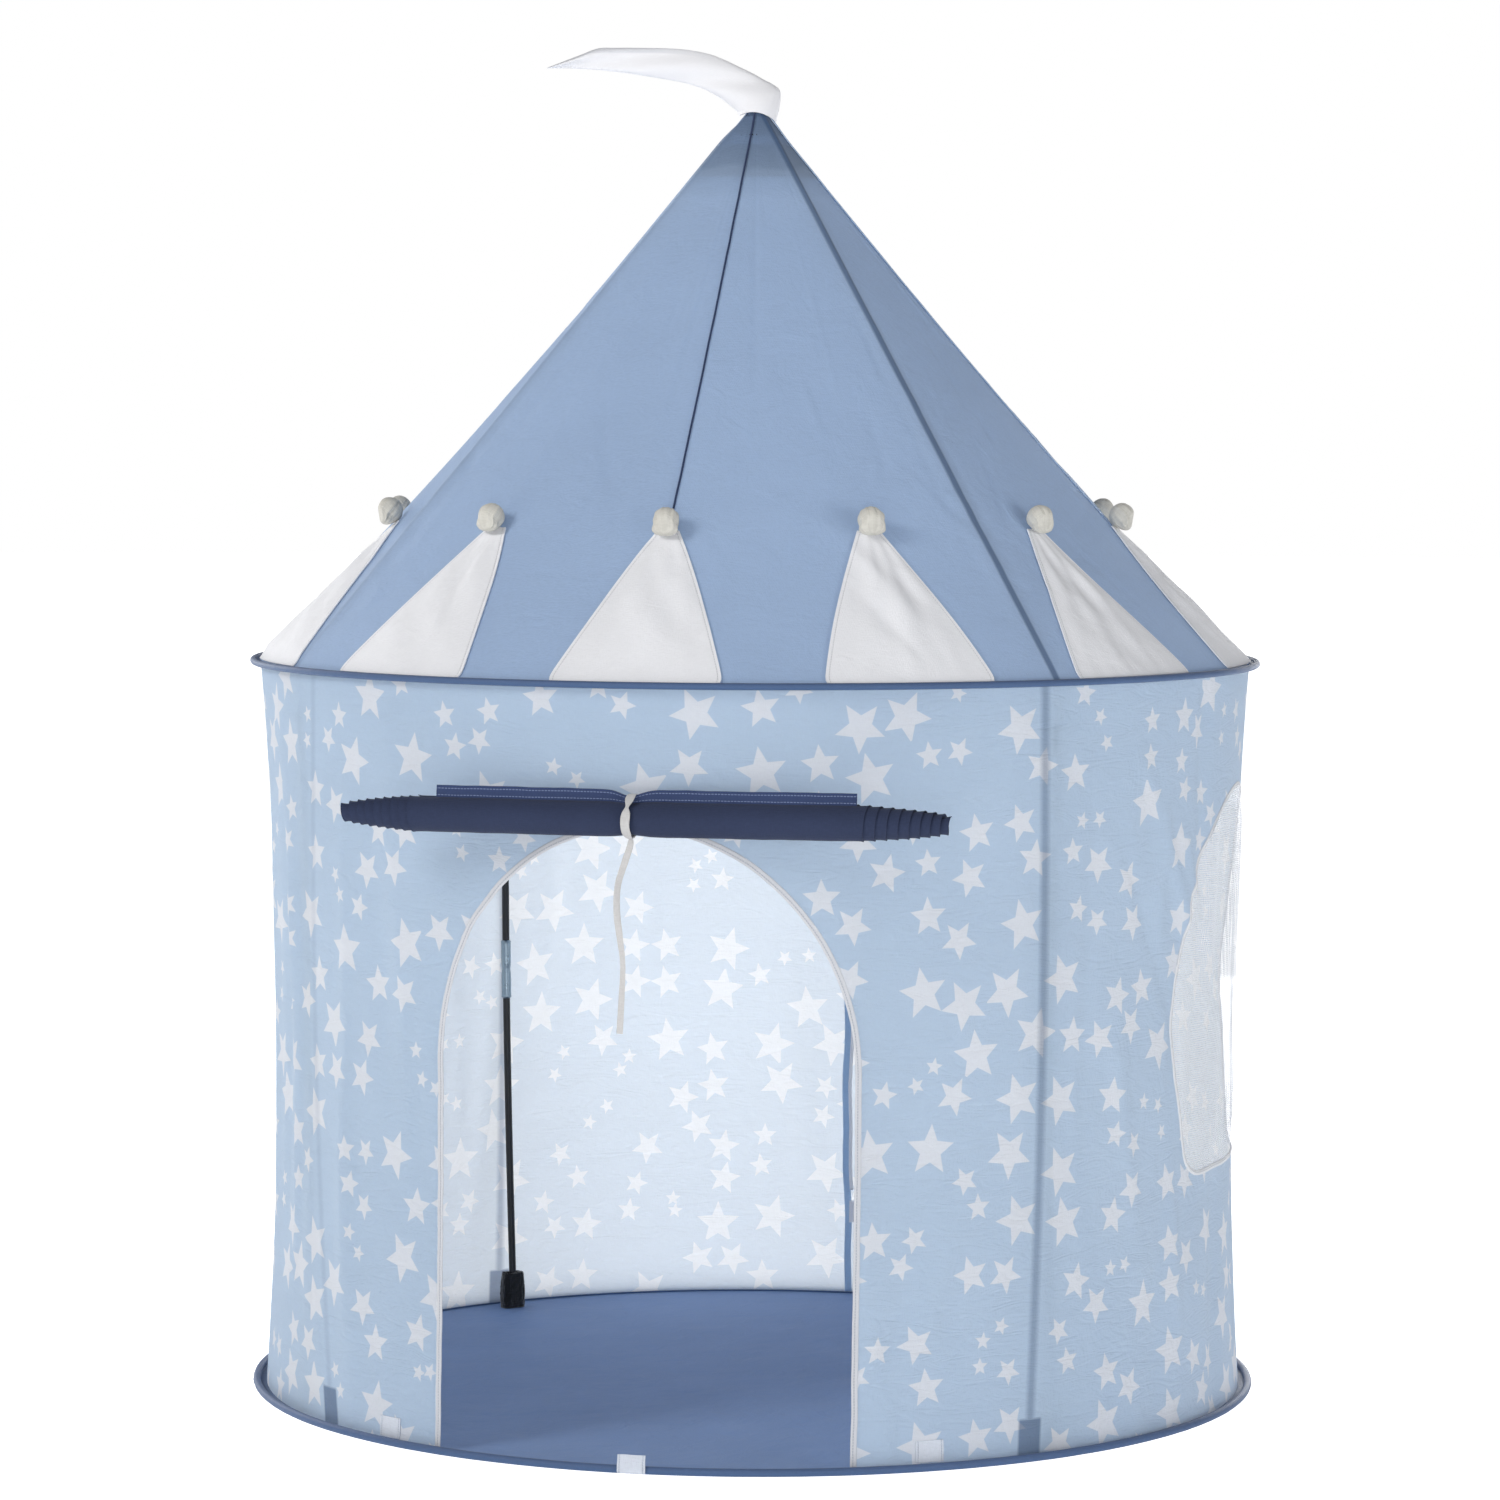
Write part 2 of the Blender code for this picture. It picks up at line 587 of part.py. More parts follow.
def make_frame():
    """Four bent poles with their ferrules and foot pockets, and the hub on top."""
    route = pole_route()
    foot, start = route[0], route[POLE_BOW_STEPS]
    shares = [(FERRULE_LOW + part * FERRULE_LENGTH - foot.y) / (start.y - foot.y)
              for part in (0.0, 0.5, 1.0)]
    low, middle, high = [bowed(foot, start, share) for share in shares]
    lean = (high - low).normalized()
    for side, angle in POLE_ANGLES.items():
        tube("pole_" + side, [polar(p.x, angle, p.y) for p in route], POLE_RADIUS, FIBREGLASS)
        half = FERRULE_LENGTH / 2
        ferrule = turned("ferrule_" + side, [(FERRULE_RADIUS, half), (FERRULE_RADIUS, -half),
                                             (FERRULE_BORE, -half), (FERRULE_BORE, half)],
                         ZINC, steps=FERRULE_FACETS)
        ferrule.location = polar(middle.x, angle, middle.y)
        pole_way = polar(lean.x, angle, lean.y)
        ferrule.rotation_euler = pole_way.to_track_quat("Z", "X").to_euler()
        make_pocket(side, angle, foot.lerp(route[1], POCKET_HEIGHT / 2 / (route[1].y - foot.y)).x)


def make_pocket(side, angle, radius):
    """A sewn pocket on the ground sheet, open at the top for the pole's foot."""
    bm = bmesh.new()
    bmesh.ops.create_cube(bm, size=1.0)
    bmesh.ops.scale(bm, verts=bm.verts, vec=(POCKET_DEPTH, POCKET_WIDTH, POCKET_HEIGHT))
    upright = [edge for edge in bm.edges if abs(edge.verts[0].co.z - edge.verts[1].co.z) > TINY]
    bmesh.ops.bevel(bm, geom=upright, offset=POCKET_CORNER, segments=3, affect="EDGES",
                    profile=0.5, material=-1)
    base = FLOOR_THICKNESS + GAP
    bmesh.ops.translate(bm, verts=bm.verts, vec=(0, 0, POCKET_HEIGHT / 2 + base))
    pocket = add_object("foot_pocket_" + side, mesh_from(bm, "pocket_" + side), FIBREGLASS)
    pocket.location = polar(radius, angle, 0.0)
    pocket.rotation_euler = (0.0, 0.0, math.radians(angle))
    hole = bmesh.new()
    bmesh.ops.create_cone(hole, cap_ends=True, segments=POCKET_BORE_FACETS, radius1=POCKET_BORE,
                          radius2=POCKET_BORE, depth=POCKET_HEIGHT)
    bmesh.ops.translate(hole, verts=hole.verts,
                        vec=(0, 0, base + POCKET_BASE + POCKET_HEIGHT / 2))
    cutter = add_object("pocket_bore_" + side, mesh_from(hole, "bore_" + side), None, CUTTERS)
    cutter.location = pocket.location
    cutter.hide_render = True
    cutter.display_type = "WIRE"
    boolean(pocket, cutter)


def make_hub():
    """The turned block where the four poles meet, under the top of the roof."""
    face = POLE_END_HEIGHT + HUB_FACE_GAP / SLOPE_UP
    at_pole = roof_radius(POLE_ANGLES["back_right"], face) - POLE_UNDER_ROOF / SLOPE_UP
    clearance = CLOTH / 2 / SLOPE_UP + 2 * GAP
    face_slope = SLOPE_IN / SLOPE_UP
    spread_out = (roof_radius(0.0, face) - clearance - at_pole) / (1 + face_slope ** 2)
    low = face - HUB_FACE_REACH * face_slope
    top = ROOF_TOP_HEIGHT - HUB_TOP_DROP
    turned_solid("crown_hub", [(0.0, top),
                               (roof_radius(0.0, top) - clearance, top),
                               (at_pole + spread_out, face + spread_out * face_slope),
                               (at_pole - HUB_FACE_REACH, low),
                               (0.0, low)], FIBREGLASS, steps=HUB_FACETS)


def make_streamer():
    """The white streamer: a soft horn of cloth that bends over to the left."""
    base = ROOF_TOP_HEIGHT + GAP
    width = STREAMER_ROUTE[0][2]
    horn = tube("streamer_guide", [(across, 0.0, up) for across, up, _ in STREAMER_ROUTE], width,
                WHITE_COTTON, radii=[radius / width for _, _, radius in STREAMER_ROUTE])
    view = bpy.context.evaluated_depsgraph_get()
    mesh = bpy.data.meshes.new_from_object(horn.evaluated_get(view))
    bpy.data.objects.remove(horn, do_unlink=True)
    bm = bmesh.new()
    bm.from_mesh(mesh)
    bpy.data.meshes.remove(mesh)
    bmesh.ops.remove_doubles(bm, verts=bm.verts, dist=TINY)
    for corner in bm.verts:
        along = min(max(-corner.co.x / STREAMER_FLAT_REACH, 0.0), 1.0)
        corner.co.y *= 1 - (1 - STREAMER_FLATNESS) * along
    bmesh.ops.rotate(bm, verts=bm.verts,
                     matrix=Matrix.Rotation(math.radians(STREAMER_ANGLE), 3, "Z"))
    lowest = min(corner.co.z for corner in bm.verts)
    bmesh.ops.translate(bm, verts=bm.verts, vec=(0, 0, base - lowest))
    smooth(add_object("streamer", mesh_from(bm, "streamer"), WHITE_COTTON))


def make_pennants():
    """Twelve white pennants on the roof's edge, each sewn to a ball at its tip."""
    for number in range(PENNANT_COUNT):
        middle = DOOR_ANGLE + 360.0 / PENNANT_COUNT * number
        columns = spread(-1.0, 1.0, 0.5)
        rows = spread(PENNANT_FOOT, BALL_SLOPE, PENNANT_ROW_STEP)

        def place(share, slope, middle=middle):
            narrowing = (BALL_SLOPE - slope) / (BALL_SLOPE - PENNANT_FOOT)
            half = math.radians(PENNANT_HALF_ANGLE) * ROOF_BASE_RADIUS
            half_width = half * narrowing + PENNANT_TIP_HALF_WIDTH * (1 - narrowing)
            here = roof_radius(middle, ROOF_BASE + slope * SLOPE_UP)
            angle = middle + math.degrees(half_width / here) * share
            return roof_point(angle, slope, PENNANT_STAND_OFF)

        pennant = sheet("pennant_%02d" % (number + 1), columns, rows, place, WHITE_COTTON)
        solidify(pennant, CLOTH)
        ball = bmesh.new()
        bmesh.ops.create_uvsphere(ball, u_segments=BALL_FACETS, v_segments=BALL_RINGS,
                                  radius=BALL_RADIUS)
        stand_off = CLOTH / 2 + 2 * GAP + BALL_RADIUS
        bmesh.ops.translate(ball, verts=ball.verts, vec=roof_point(middle, BALL_SLOPE, stand_off))
        name = "ball_%02d" % (number + 1)
        solid = add_object(name, mesh_from(ball, name), WHITE_COTTON, CUTTERS)
        solid.hide_render = True
        solid.display_type = "WIRE"
        boolean(pennant, solid, "UNION")
        smooth(pennant)


def make_seam_fin():
    """The bound seam at the middle of the back, which stands inwards."""
    def place(share, height):
        outer = wall_radius(90.0, height) - CLOTH / 2 - GAP
        return polar(outer - SEAM_FIN_WIDTH * share, 90.0, height)

    fin = sheet("back_seam_binding", [0.0, 1.0], WALL_ROWS, place, NAVY_TAPE)
    solidify(fin, SEAM_FIN_THICKNESS)


def roll_outline():
    """Half the roll's silhouette: stepped turns of cloth at each end."""
    def steps(from_x, to_x):
        points = []
        for k in range(ROLL_TURNS):
            radius = ROLL_RADIUS + (ROLL_TIP_RADIUS - ROLL_RADIUS) * k / ROLL_TURNS
            inner = ROLL_RADIUS + (ROLL_TIP_RADIUS - ROLL_RADIUS) * (k + 0.6) / ROLL_TURNS
            x = from_x + (to_x - from_x) * k / ROLL_TURNS
            beyond = from_x + (to_x - from_x) * (k + 1) / ROLL_TURNS
            points.append((radius, x))
            points.append((inner, beyond))
        return points

    right = steps(ROLL_RIGHT, ROLL_RIGHT_TIP)
    left = steps(ROLL_LEFT, ROLL_LEFT_TIP)
    return [(0.0, ROLL_RIGHT_TIP)] + right[::-1] + left + [(0.0, ROLL_LEFT_TIP)]


def make_door_roll():
    """The rolled-up door flap, with its hem along the top."""
    wall_face = wall_radius(DOOR_ANGLE, ROLL_HEIGHT) + BINDING_THICKNESS / 2
    depth = -(wall_face + TIE_THICKNESS + 2 * GAP + ROLL_RADIUS)
    roll = turned_solid("door_roll", roll_outline(), ROOF_COTTON, steps=ROLL_FACETS)
    roll.location = (0.0, depth, ROLL_HEIGHT)
    roll.rotation_euler = (0.0, math.pi / 2, 0.0)
    pinch = TIE_WIDTH / 2 + HEM_PINCH
    hem_middle = ROLL_HEIGHT + ROLL_RADIUS + (HEM_HEIGHT - HEM_SUNK) / 2
    for side, first, last in (("left", HEM_LEFT, TIE_X - pinch),
                              ("right", TIE_X + pinch, HEM_RIGHT)):
        bm = bmesh.new()
        bmesh.ops.create_cube(bm, size=1.0)
        bmesh.ops.scale(bm, verts=bm.verts,
                        vec=(last - first, HEM_THICKNESS, HEM_HEIGHT + HEM_SUNK))
        bmesh.ops.translate(bm, verts=bm.verts, vec=((first + last) / 2, depth, hem_middle))
        hem = add_object("hem_" + side, mesh_from(bm, "hem_" + side), None, CUTTERS)
        hem.hide_render = True
        hem.display_type = "WIRE"
        boolean(roll, hem, "UNION")
    outer = ROLL_RADIUS + GAP + TIE_THICKNESS
    inner = ROLL_RADIUS + GAP
    half = TIE_WIDTH / 2
    tie = turned("door_tie", [(outer, half), (outer, -half), (inner, -half), (inner, half)],
                 WHITE_COTTON, steps=TIE_FACETS)
    tie.location = (TIE_X, depth, ROLL_HEIGHT)
    tie.rotation_euler = (0.0, math.pi / 2, 0.0)
    make_tie_tail(depth)


def make_tie_tail(depth):
    """The tie's free end, which hangs in front of the doorway."""
    points = [(TIE_X + across, depth, TAIL_TOP - down) for across, down in TAIL_SWAY]
    tube("door_tie_tail", smooth_route(points, TAIL_STEPS), TAIL_RADIUS, WHITE_COTTON)


def smooth_route(points, count):
    """Even points along one smooth curve through a few chosen ones."""
    spots = [Vector(p) for p in points]
    spots = [2 * spots[0] - spots[1]] + spots + [2 * spots[-1] - spots[-2]]
    route = []
    stretches = len(points) - 1
    for k in range(count + 1):
        place = min(k / count * stretches, stretches - 1e-9)
        n = int(place)
        t = place - n
        a, b, c, d = spots[n:n + 4]
        route.append(0.5 * (2 * b + (c - a) * t + (2 * a - 5 * b + 4 * c - d) * t ** 2
                            + (3 * b - a - 3 * c + d) * t ** 3))
    return route


make_floor()
make_hoops()
make_walls()
make_openings()
make_seam_fin()
make_roof()
make_frame()
make_hub()
make_streamer()
make_pennants()
make_door_roll()
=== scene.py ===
"""A child's round play tent of printed cotton, dressed over its CAD frame.

Every soft solid of the frame is replaced here by cloth: a printed wall that hangs
between two hoops, a roof of four gores over bent poles, white pennants with stuffed
balls, a rolled-up door flap and a streamer. Metres, +Z up, the doorway faces -Y.
Angles are in degrees round +Z, from +X.
"""
import math
import random

import bmesh
import bpy
import numpy as np
from bpy.props import FloatProperty, FloatVectorProperty, PointerProperty
from mathutils import Matrix, Vector, kdtree, noise


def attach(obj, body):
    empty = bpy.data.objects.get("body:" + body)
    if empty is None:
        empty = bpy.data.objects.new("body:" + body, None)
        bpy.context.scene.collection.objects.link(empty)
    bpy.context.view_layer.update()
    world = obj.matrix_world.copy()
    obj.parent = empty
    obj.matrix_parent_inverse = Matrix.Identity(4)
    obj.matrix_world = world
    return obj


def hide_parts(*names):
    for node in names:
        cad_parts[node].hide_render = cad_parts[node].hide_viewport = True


bl_info = {
    "name": "Round play tent",
    "version": (1, 0, 0),
    "blender": (4, 5, 0),
    "location": "3D View > Sidebar > Play tent",
    "description": "Builds the cloth, frame and trimmings of a child's round play tent",
    "category": "Add Mesh",
}

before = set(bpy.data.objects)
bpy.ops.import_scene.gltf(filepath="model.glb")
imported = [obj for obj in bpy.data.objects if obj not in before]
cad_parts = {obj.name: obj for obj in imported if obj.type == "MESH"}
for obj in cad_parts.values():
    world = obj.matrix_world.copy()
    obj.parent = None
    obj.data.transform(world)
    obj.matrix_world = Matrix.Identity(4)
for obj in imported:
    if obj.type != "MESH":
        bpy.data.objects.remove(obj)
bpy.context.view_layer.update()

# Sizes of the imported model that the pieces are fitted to
HOOP_RADIUS = 0.521
TOP_HOOP_RADIUS = 0.523
HOOP_TUBE = 0.004
TOP_HOOP_HEIGHT = 0.7568
FLOOR_RADIUS = 0.5165
WALL_BASE = 0.0026
WALL_TOP = 0.7560
WALL_BOTTOM_RADIUS = 0.511
WALL_TOP_RADIUS = 0.5155
WAIST = 0.0125
POLE_PUSH = 0.0025
PUSH_REACH = 18.0
ROOF_BASE = 0.7581
ROOF_BASE_RADIUS = 0.516
ROOF_TIP_HEIGHT = 1.337
ROOF_TOP_HEIGHT = 1.3280
ROOF_SAG = 0.0135
ROOF_FLAT = 0.0090             # how far a gore's half is flatter than a cone
SAG_SKEW = 0.8
ROOF_RISE = ROOF_TIP_HEIGHT - ROOF_BASE
ROOF_SLANT = math.hypot(ROOF_RISE, ROOF_BASE_RADIUS)
SLOPE_UP = ROOF_RISE / ROOF_SLANT
SLOPE_IN = ROOF_BASE_RADIUS / ROOF_SLANT
ROOF_LENGTH = (ROOF_TOP_HEIGHT - ROOF_BASE) / SLOPE_UP
POLE_ANGLES = {"back_right": 42.5, "back_left": 137.5, "front_left": 220.0, "front_right": 317.5}
POLE_RADIUS = 0.004
DOOR_ANGLE = -90.0
DOOR_HALF_WIDTH = 0.2045
DOOR_SPRING = 0.385
DOOR_TOP = 0.6185
BINDING = 0.0065
WINDOW_BINDING = 0.005
WINDOW_BOTTOM = 0.252
WINDOW_WIDEST = 0.400
WINDOW_TOP = 0.634
WINDOW_HALF_WIDTH = 0.171
WINDOW_HALF_BOTTOM = 0.143
WINDOW_CORNER = 0.030
ROLL_RADIUS = 0.018
ROLL_HEIGHT = 0.6315
ROLL_DEPTH = -0.5296
TIE_X = 0.002
TINY = 0.000001
ARC = math.radians(1.0) * 0.5150      # length of one degree of the wall's cloth


def srgb(code):
    """Turns a colour written as six hex digits into linear light."""
    parts = [int(code[k:k + 2], 16) / 255 for k in (0, 2, 4)]
    return [p / 12.92 if p <= 0.04045 else ((p + 0.055) / 1.055) ** 2.4 for p in parts]


# Shapes that the cloth follows

def quarter_place(angle):
    """How far an angle, and the pole of its quarter, are from the seam before them."""
    turned = np.mod(angle, 360.0)
    seam = 90.0 * np.floor(turned / 90.0)
    poles = np.array(sorted(POLE_ANGLES.values()))
    return turned - seam, poles[(seam / 90.0).astype(int) % 4] - seam


def wall_radius(angle, height):
    """Middle of the wall: pulled in to a waist, with a ridge over each pole."""
    t = np.clip(height / TOP_HOOP_HEIGHT, 0.0, 1.0)
    straight = WALL_BOTTOM_RADIUS + (WALL_TOP_RADIUS - WALL_BOTTOM_RADIUS) * t
    here, pole = quarter_place(angle)
    ridge = np.clip(1.0 - np.abs(here - pole) / PUSH_REACH, 0.0, None) ** 2
    return straight - (WAIST - POLE_PUSH * ridge) * 4 * t * (1 - t)


def roof_radius(angle, height):
    """Middle of the roof: creased over the poles, flat and pulled in between them."""
    t = np.clip((height - ROOF_BASE) / ROOF_RISE, 0.0, 1.0)
    here, pole = quarter_place(angle)
    share = np.where(here < pole, here / pole, (90.0 - here) / (90.0 - pole))
    loose = np.cos(np.pi / 2 * share)
    flat = np.minimum(ROOF_FLAT, 0.046 * ROOF_BASE_RADIUS * (1 - t)) * smooth_step(0.0, 0.22, t)
    return (ROOF_BASE_RADIUS * (1 - t) - ROOF_SAG * np.sin(np.pi * t ** SAG_SKEW) * loose
            - flat * 4 * share * (1 - share))


def polar(radius, angle, height):
    """Points at a radius and an angle round the tent's axis."""
    turn = np.radians(angle)
    return np.stack(np.broadcast_arrays(radius * np.cos(turn), radius * np.sin(turn), height), -1)


def smooth_step(low, high, value):
    """Goes from 0 to 1 between two values, without a corner."""
    t = np.clip((value - low) / (high - low), 0.0, 1.0)
    return t * t * (3 - 2 * t)


def fold_table(seed, count, angles, leans, widths, depths, lows, lengths):
    """Folds of the cloth: angle, lean, half width, depth, and where each starts and ends."""
    draw = random.Random(seed)
    table = []
    for _ in range(count):
        low = draw.uniform(*lows)
        table.append((draw.uniform(*angles), draw.uniform(*leans), draw.uniform(*widths),
                      draw.uniform(*depths) * draw.choice((-1, 1)), low,
                      low + draw.uniform(*lengths)))
    return table


def folded(table, angle, height):
    """How far a table of folds lifts the cloth at each place."""
    lift = np.zeros(np.broadcast(angle, height).shape)
    for middle, lean, width, depth, low, high in table:
        fade = 0.35 * (high - low)
        reach = smooth_step(low, low + fade, height) * (1 - smooth_step(high - fade, high, height))
        across = np.mod(angle - middle - lean * (height - (low + high) / 2) + 180.0, 360.0) - 180.0
        lift += depth * np.exp(-(across / width) ** 2) * reach
    return lift


WALL_FOLDS = (fold_table(11, 52, (-90, 270), (-14, 14), (1.0, 3.0), (0.0017, 0.0046),
                         (-0.15, 0.35), (0.25, 0.75))
              + fold_table(12, 56, (-90, 270), (-75, 75), (0.5, 1.0), (0.0005, 0.0013),
                           (0.0, 0.6), (0.08, 0.25)))
# Folds that the photograph shows: beside the doorway, at the windows and at the poles
WALL_FOLDS += [(-56.0, 42.0, 1.3, 0.0030, 0.02, 0.34), (-60.0, 30.0, 1.0, -0.0023, 0.05, 0.30),
               (-131.0, 0.0, 1.1, 0.0027, 0.05, 0.70), (-148.0, 2.0, 1.4, -0.0042, 0.10, 0.74),
               (-155.0, -2.0, 1.6, 0.0034, 0.05, 0.70), (-36.5, 1.0, 1.0, -0.0023, 0.20, 0.70),
               (-24.0, 6.0, 1.4, 0.0034, 0.40, 0.74), (-20.0, -8.0, 1.2, 0.0030, 0.02, 0.30),
               (-21.0, -64.0, 1.2, 0.0040, 0.40, 0.72), (-26.5, -58.0, 1.0, -0.0030, 0.36, 0.66),
               (-15.5, -72.0, 0.9, 0.0030, 0.42, 0.66), (-30.0, -20.0, 1.5, 0.0030, 0.10, 0.50),
               (-144.0, 0.0, 1.0, 0.0038, 0.06, 0.72), (-158.0, 3.0, 1.0, -0.0038, 0.10, 0.70),
               (-101.0, 10.0, 1.3, 0.0030, 0.60, 0.76), (-96.0, -14.0, 1.1, -0.0026, 0.62, 0.76),
               (-112.0, 6.0, 1.5, 0.0028, 0.58, 0.76), (-49.0, 36.0, 1.2, 0.0026, 0.06, 0.30)]


def wall_lift(angle, height):
    """The wall's folds and its puckers along the two hoops."""
    turned = np.mod(angle, 360.0)
    folds = folded(WALL_FOLDS, angle, height)
    from_door = np.abs(np.mod(angle - DOOR_ANGLE + 180.0, 360.0) - 180.0)
    taut = 1 - 0.75 * (1 - smooth_step(26.0, 36.0, from_door)) * smooth_step(0.50, 0.58, height)
    pucker = (np.sin(np.radians(turned * 97)) + np.sin(np.radians(turned * 61 + 40))
              + 0.7 * np.sin(np.radians(turned * 143 + 10)))
    near = np.exp(-(WALL_TOP - height) / 0.016) + 0.8 * np.exp(-(height - WALL_BASE) / 0.014)
    hem = np.minimum(WALL_TOP - height, height - WALL_BASE)
    settle = smooth_step(0.0, 0.012, hem)
    here, pole = quarter_place(angle)
    crest = 0.0009 * np.exp(-np.abs(here - pole) / 0.9) * smooth_step(0.03, 0.12, height)
    calm = 1 - 0.7 * np.exp(-np.abs(here - pole) / 1.5)
    return (folds * taut * calm + crest) * settle + 0.00045 * pucker * near * settle


def wall_point(angle, height, off=0.0):
    """A point of the hung wall, or off it by a little."""
    radius = wall_radius(angle, height) + wall_lift(angle, height) + off
    return polar(radius, angle, height)


ROOF_FOLDS = (fold_table(21, 40, (-90, 270), (-5, 5), (0.7, 2.4), (0.0007, 0.0020),
                         (-0.1, 0.45), (0.2, 0.6))
              + fold_table(22, 110, (-90, 270), (-90, 90), (0.6, 1.3), (0.0006, 0.0016),
                           (0.0, 0.6), (0.05, 0.16)))
# Short wrinkles that cross each pole, and the line of slack cloth beside it
for pole_angle in sorted(POLE_ANGLES.values()):
    ROOF_FOLDS += fold_table(int(pole_angle), 12, (pole_angle - 3, pole_angle + 5), (-170, -90),
                             (1.0, 1.8), (0.0004, 0.0009), (0.05, 0.62), (0.05, 0.12))
    ROOF_FOLDS += [(pole_angle + 2.6, 0.6, 0.7, -0.0010, 0.03, 0.70),
                   (pole_angle - 3.0, -0.6, 1.0, -0.0008, 0.03, 0.55)]


def roof_lift(angle, slope):
    """The roof's folds, its ridges over the poles and the pull of its seams."""
    here, pole = quarter_place(angle)
    girth = 1 - np.clip(slope / ROOF_SLANT, 0.0, 0.96)
    from_pole = np.abs(here - pole) * ARC * girth
    from_seam = np.minimum(here, 90.0 - here) * ARC * girth
    ends = smooth_step(0.0, 0.02, slope) * (1 - smooth_step(ROOF_LENGTH - 0.05, ROOF_LENGTH, slope))
    ridge = 0.0012 * np.exp(-from_pole / 0.006)
    seam = -0.0016 * np.exp(-from_seam / 0.012)
    folds = folded(ROOF_FOLDS, angle, slope) * np.clip(girth * 1.6, 0.15, 1.0)
    calm = 1 - 0.6 * np.exp(-from_pole / 0.004)
    billow = 0.0048 * np.exp(-((np.mod(angle, 360.0) - 197.0) / 20.0) ** 2)
    return (folds * calm + ridge + seam + billow) * ends


def roof_point(angle, slope, off=0.0):
    """A point of the roof, by its distance up the slope, or off it by a little."""
    height = ROOF_BASE + slope * SLOPE_UP
    stand = roof_lift(angle, slope) + off
    return polar(roof_radius(angle, height) + stand * SLOPE_UP, angle, height + stand * SLOPE_IN)


# Outlines of the openings, across and up

def door_outline(grow, foot=WALL_BASE):
    """The doorway: straight sides under half an ellipse, wider all round by grow."""
    width = DOOR_HALF_WIDTH + grow
    rise = DOOR_TOP + grow - DOOR_SPRING
    sides = np.linspace(foot, DOOR_SPRING, 76)[:-1]
    turns = np.linspace(0.0, math.pi, 121)
    right = [(width, z) for z in sides]
    arch = [(width * math.cos(turn), DOOR_SPRING + rise * math.sin(turn)) for turn in turns]
    return right + arch + [(-width, z) for z in sides[::-1]]


def window_outline(grow):
    """A window: rounded lower corners, sides that lean out, and a blunt pointed arch."""
    half = []
    for turn in np.linspace(0.0, math.pi / 2, 8):
        half.append((WINDOW_HALF_BOTTOM - WINDOW_CORNER * (1 - math.sin(turn)),
                     WINDOW_BOTTOM + WINDOW_CORNER * (1 - math.cos(turn))))
    half.append(((WINDOW_HALF_BOTTOM + 2 * WINDOW_HALF_WIDTH) / 3,
                 (WINDOW_BOTTOM + 2 * WINDOW_WIDEST) / 3))
    rise = WINDOW_TOP - WINDOW_WIDEST
    for turn in np.linspace(0.0, math.pi / 2, 28):
        half.append((WINDOW_HALF_WIDTH * math.cos(turn), WINDOW_WIDEST + rise * math.sin(turn)))
    grown = []
    for x, z in half + [(-x, z) for x, z in reversed(half[:-1])]:
        away = Vector((x, z - WINDOW_WIDEST))
        away *= 1 + grow / away.length
        grown.append((away.x, away.y + WINDOW_WIDEST))
    return grown


def even_steps(points, step, closed=False):
    """The same line with its points a step apart."""
    line = np.array(list(points) + ([points[0]] if closed else []), float)
    lengths = np.concatenate(([0.0], np.cumsum(np.linalg.norm(np.diff(line, axis=0), axis=1))))
    count = max(2, int(round(lengths[-1] / step)) + 1)
    marks = np.linspace(0.0, lengths[-1], count)
    return np.stack([np.interp(marks, lengths, line[:, k]) for k in range(line.shape[1])], -1)


def smooth_route(points, count):
    """Even points along one smooth curve through a few chosen ones."""
    spots = [Vector(p) for p in points]
    spots = [2 * spots[0] - spots[1]] + spots + [2 * spots[-1] - spots[-2]]
    route = []
    stretches = len(points) - 1
    for k in range(count + 1):
        place = min(k / count * stretches, stretches - 1e-9)
        n = int(place)
        t = place - n
        a, b, c, d = spots[n:n + 4]
        route.append(0.5 * (2 * b + (c - a) * t + (2 * a - 5 * b + 4 * c - d) * t ** 2
                            + (3 * b - a - 3 * c + d) * t ** 3))
    return route


# Making pieces

def laid_grid(columns, rows, place, measure, edge=None):
    """A grid of cloth, each corner put in its place; measure gives its place on the flat cloth."""
    across = len(columns) - 1
    up = len(rows) - 1
    bm = bmesh.new()
    bmesh.ops.create_grid(bm, x_segments=across, y_segments=up, size=1.0)
    bm.verts.index_update()
    column = np.asarray(columns, float)[[round((v.co.x + 1) / 2 * across) for v in bm.verts]]
    row = np.asarray(rows, float)[[round((v.co.y + 1) / 2 * up) for v in bm.verts]]
    set_uv(bm, "cloth", measure(column, row))
    if edge:
        set_uv(bm, "edge", edge(column, row))
    for corner, spot in zip(bm.verts, place(column, row)):
        corner.co = spot
    return bm


def set_uv(bm, name, marks):
    """Writes a UV map from one pair of values for each vertex."""
    layer = bm.loops.layers.uv.get(name) or bm.loops.layers.uv.new(name)
    bm.verts.index_update()
    across, up = marks
    for face in bm.faces:
        for loop in face.loops:
            n = loop.vert.index
            loop[layer].uv = (across[n], up[n])


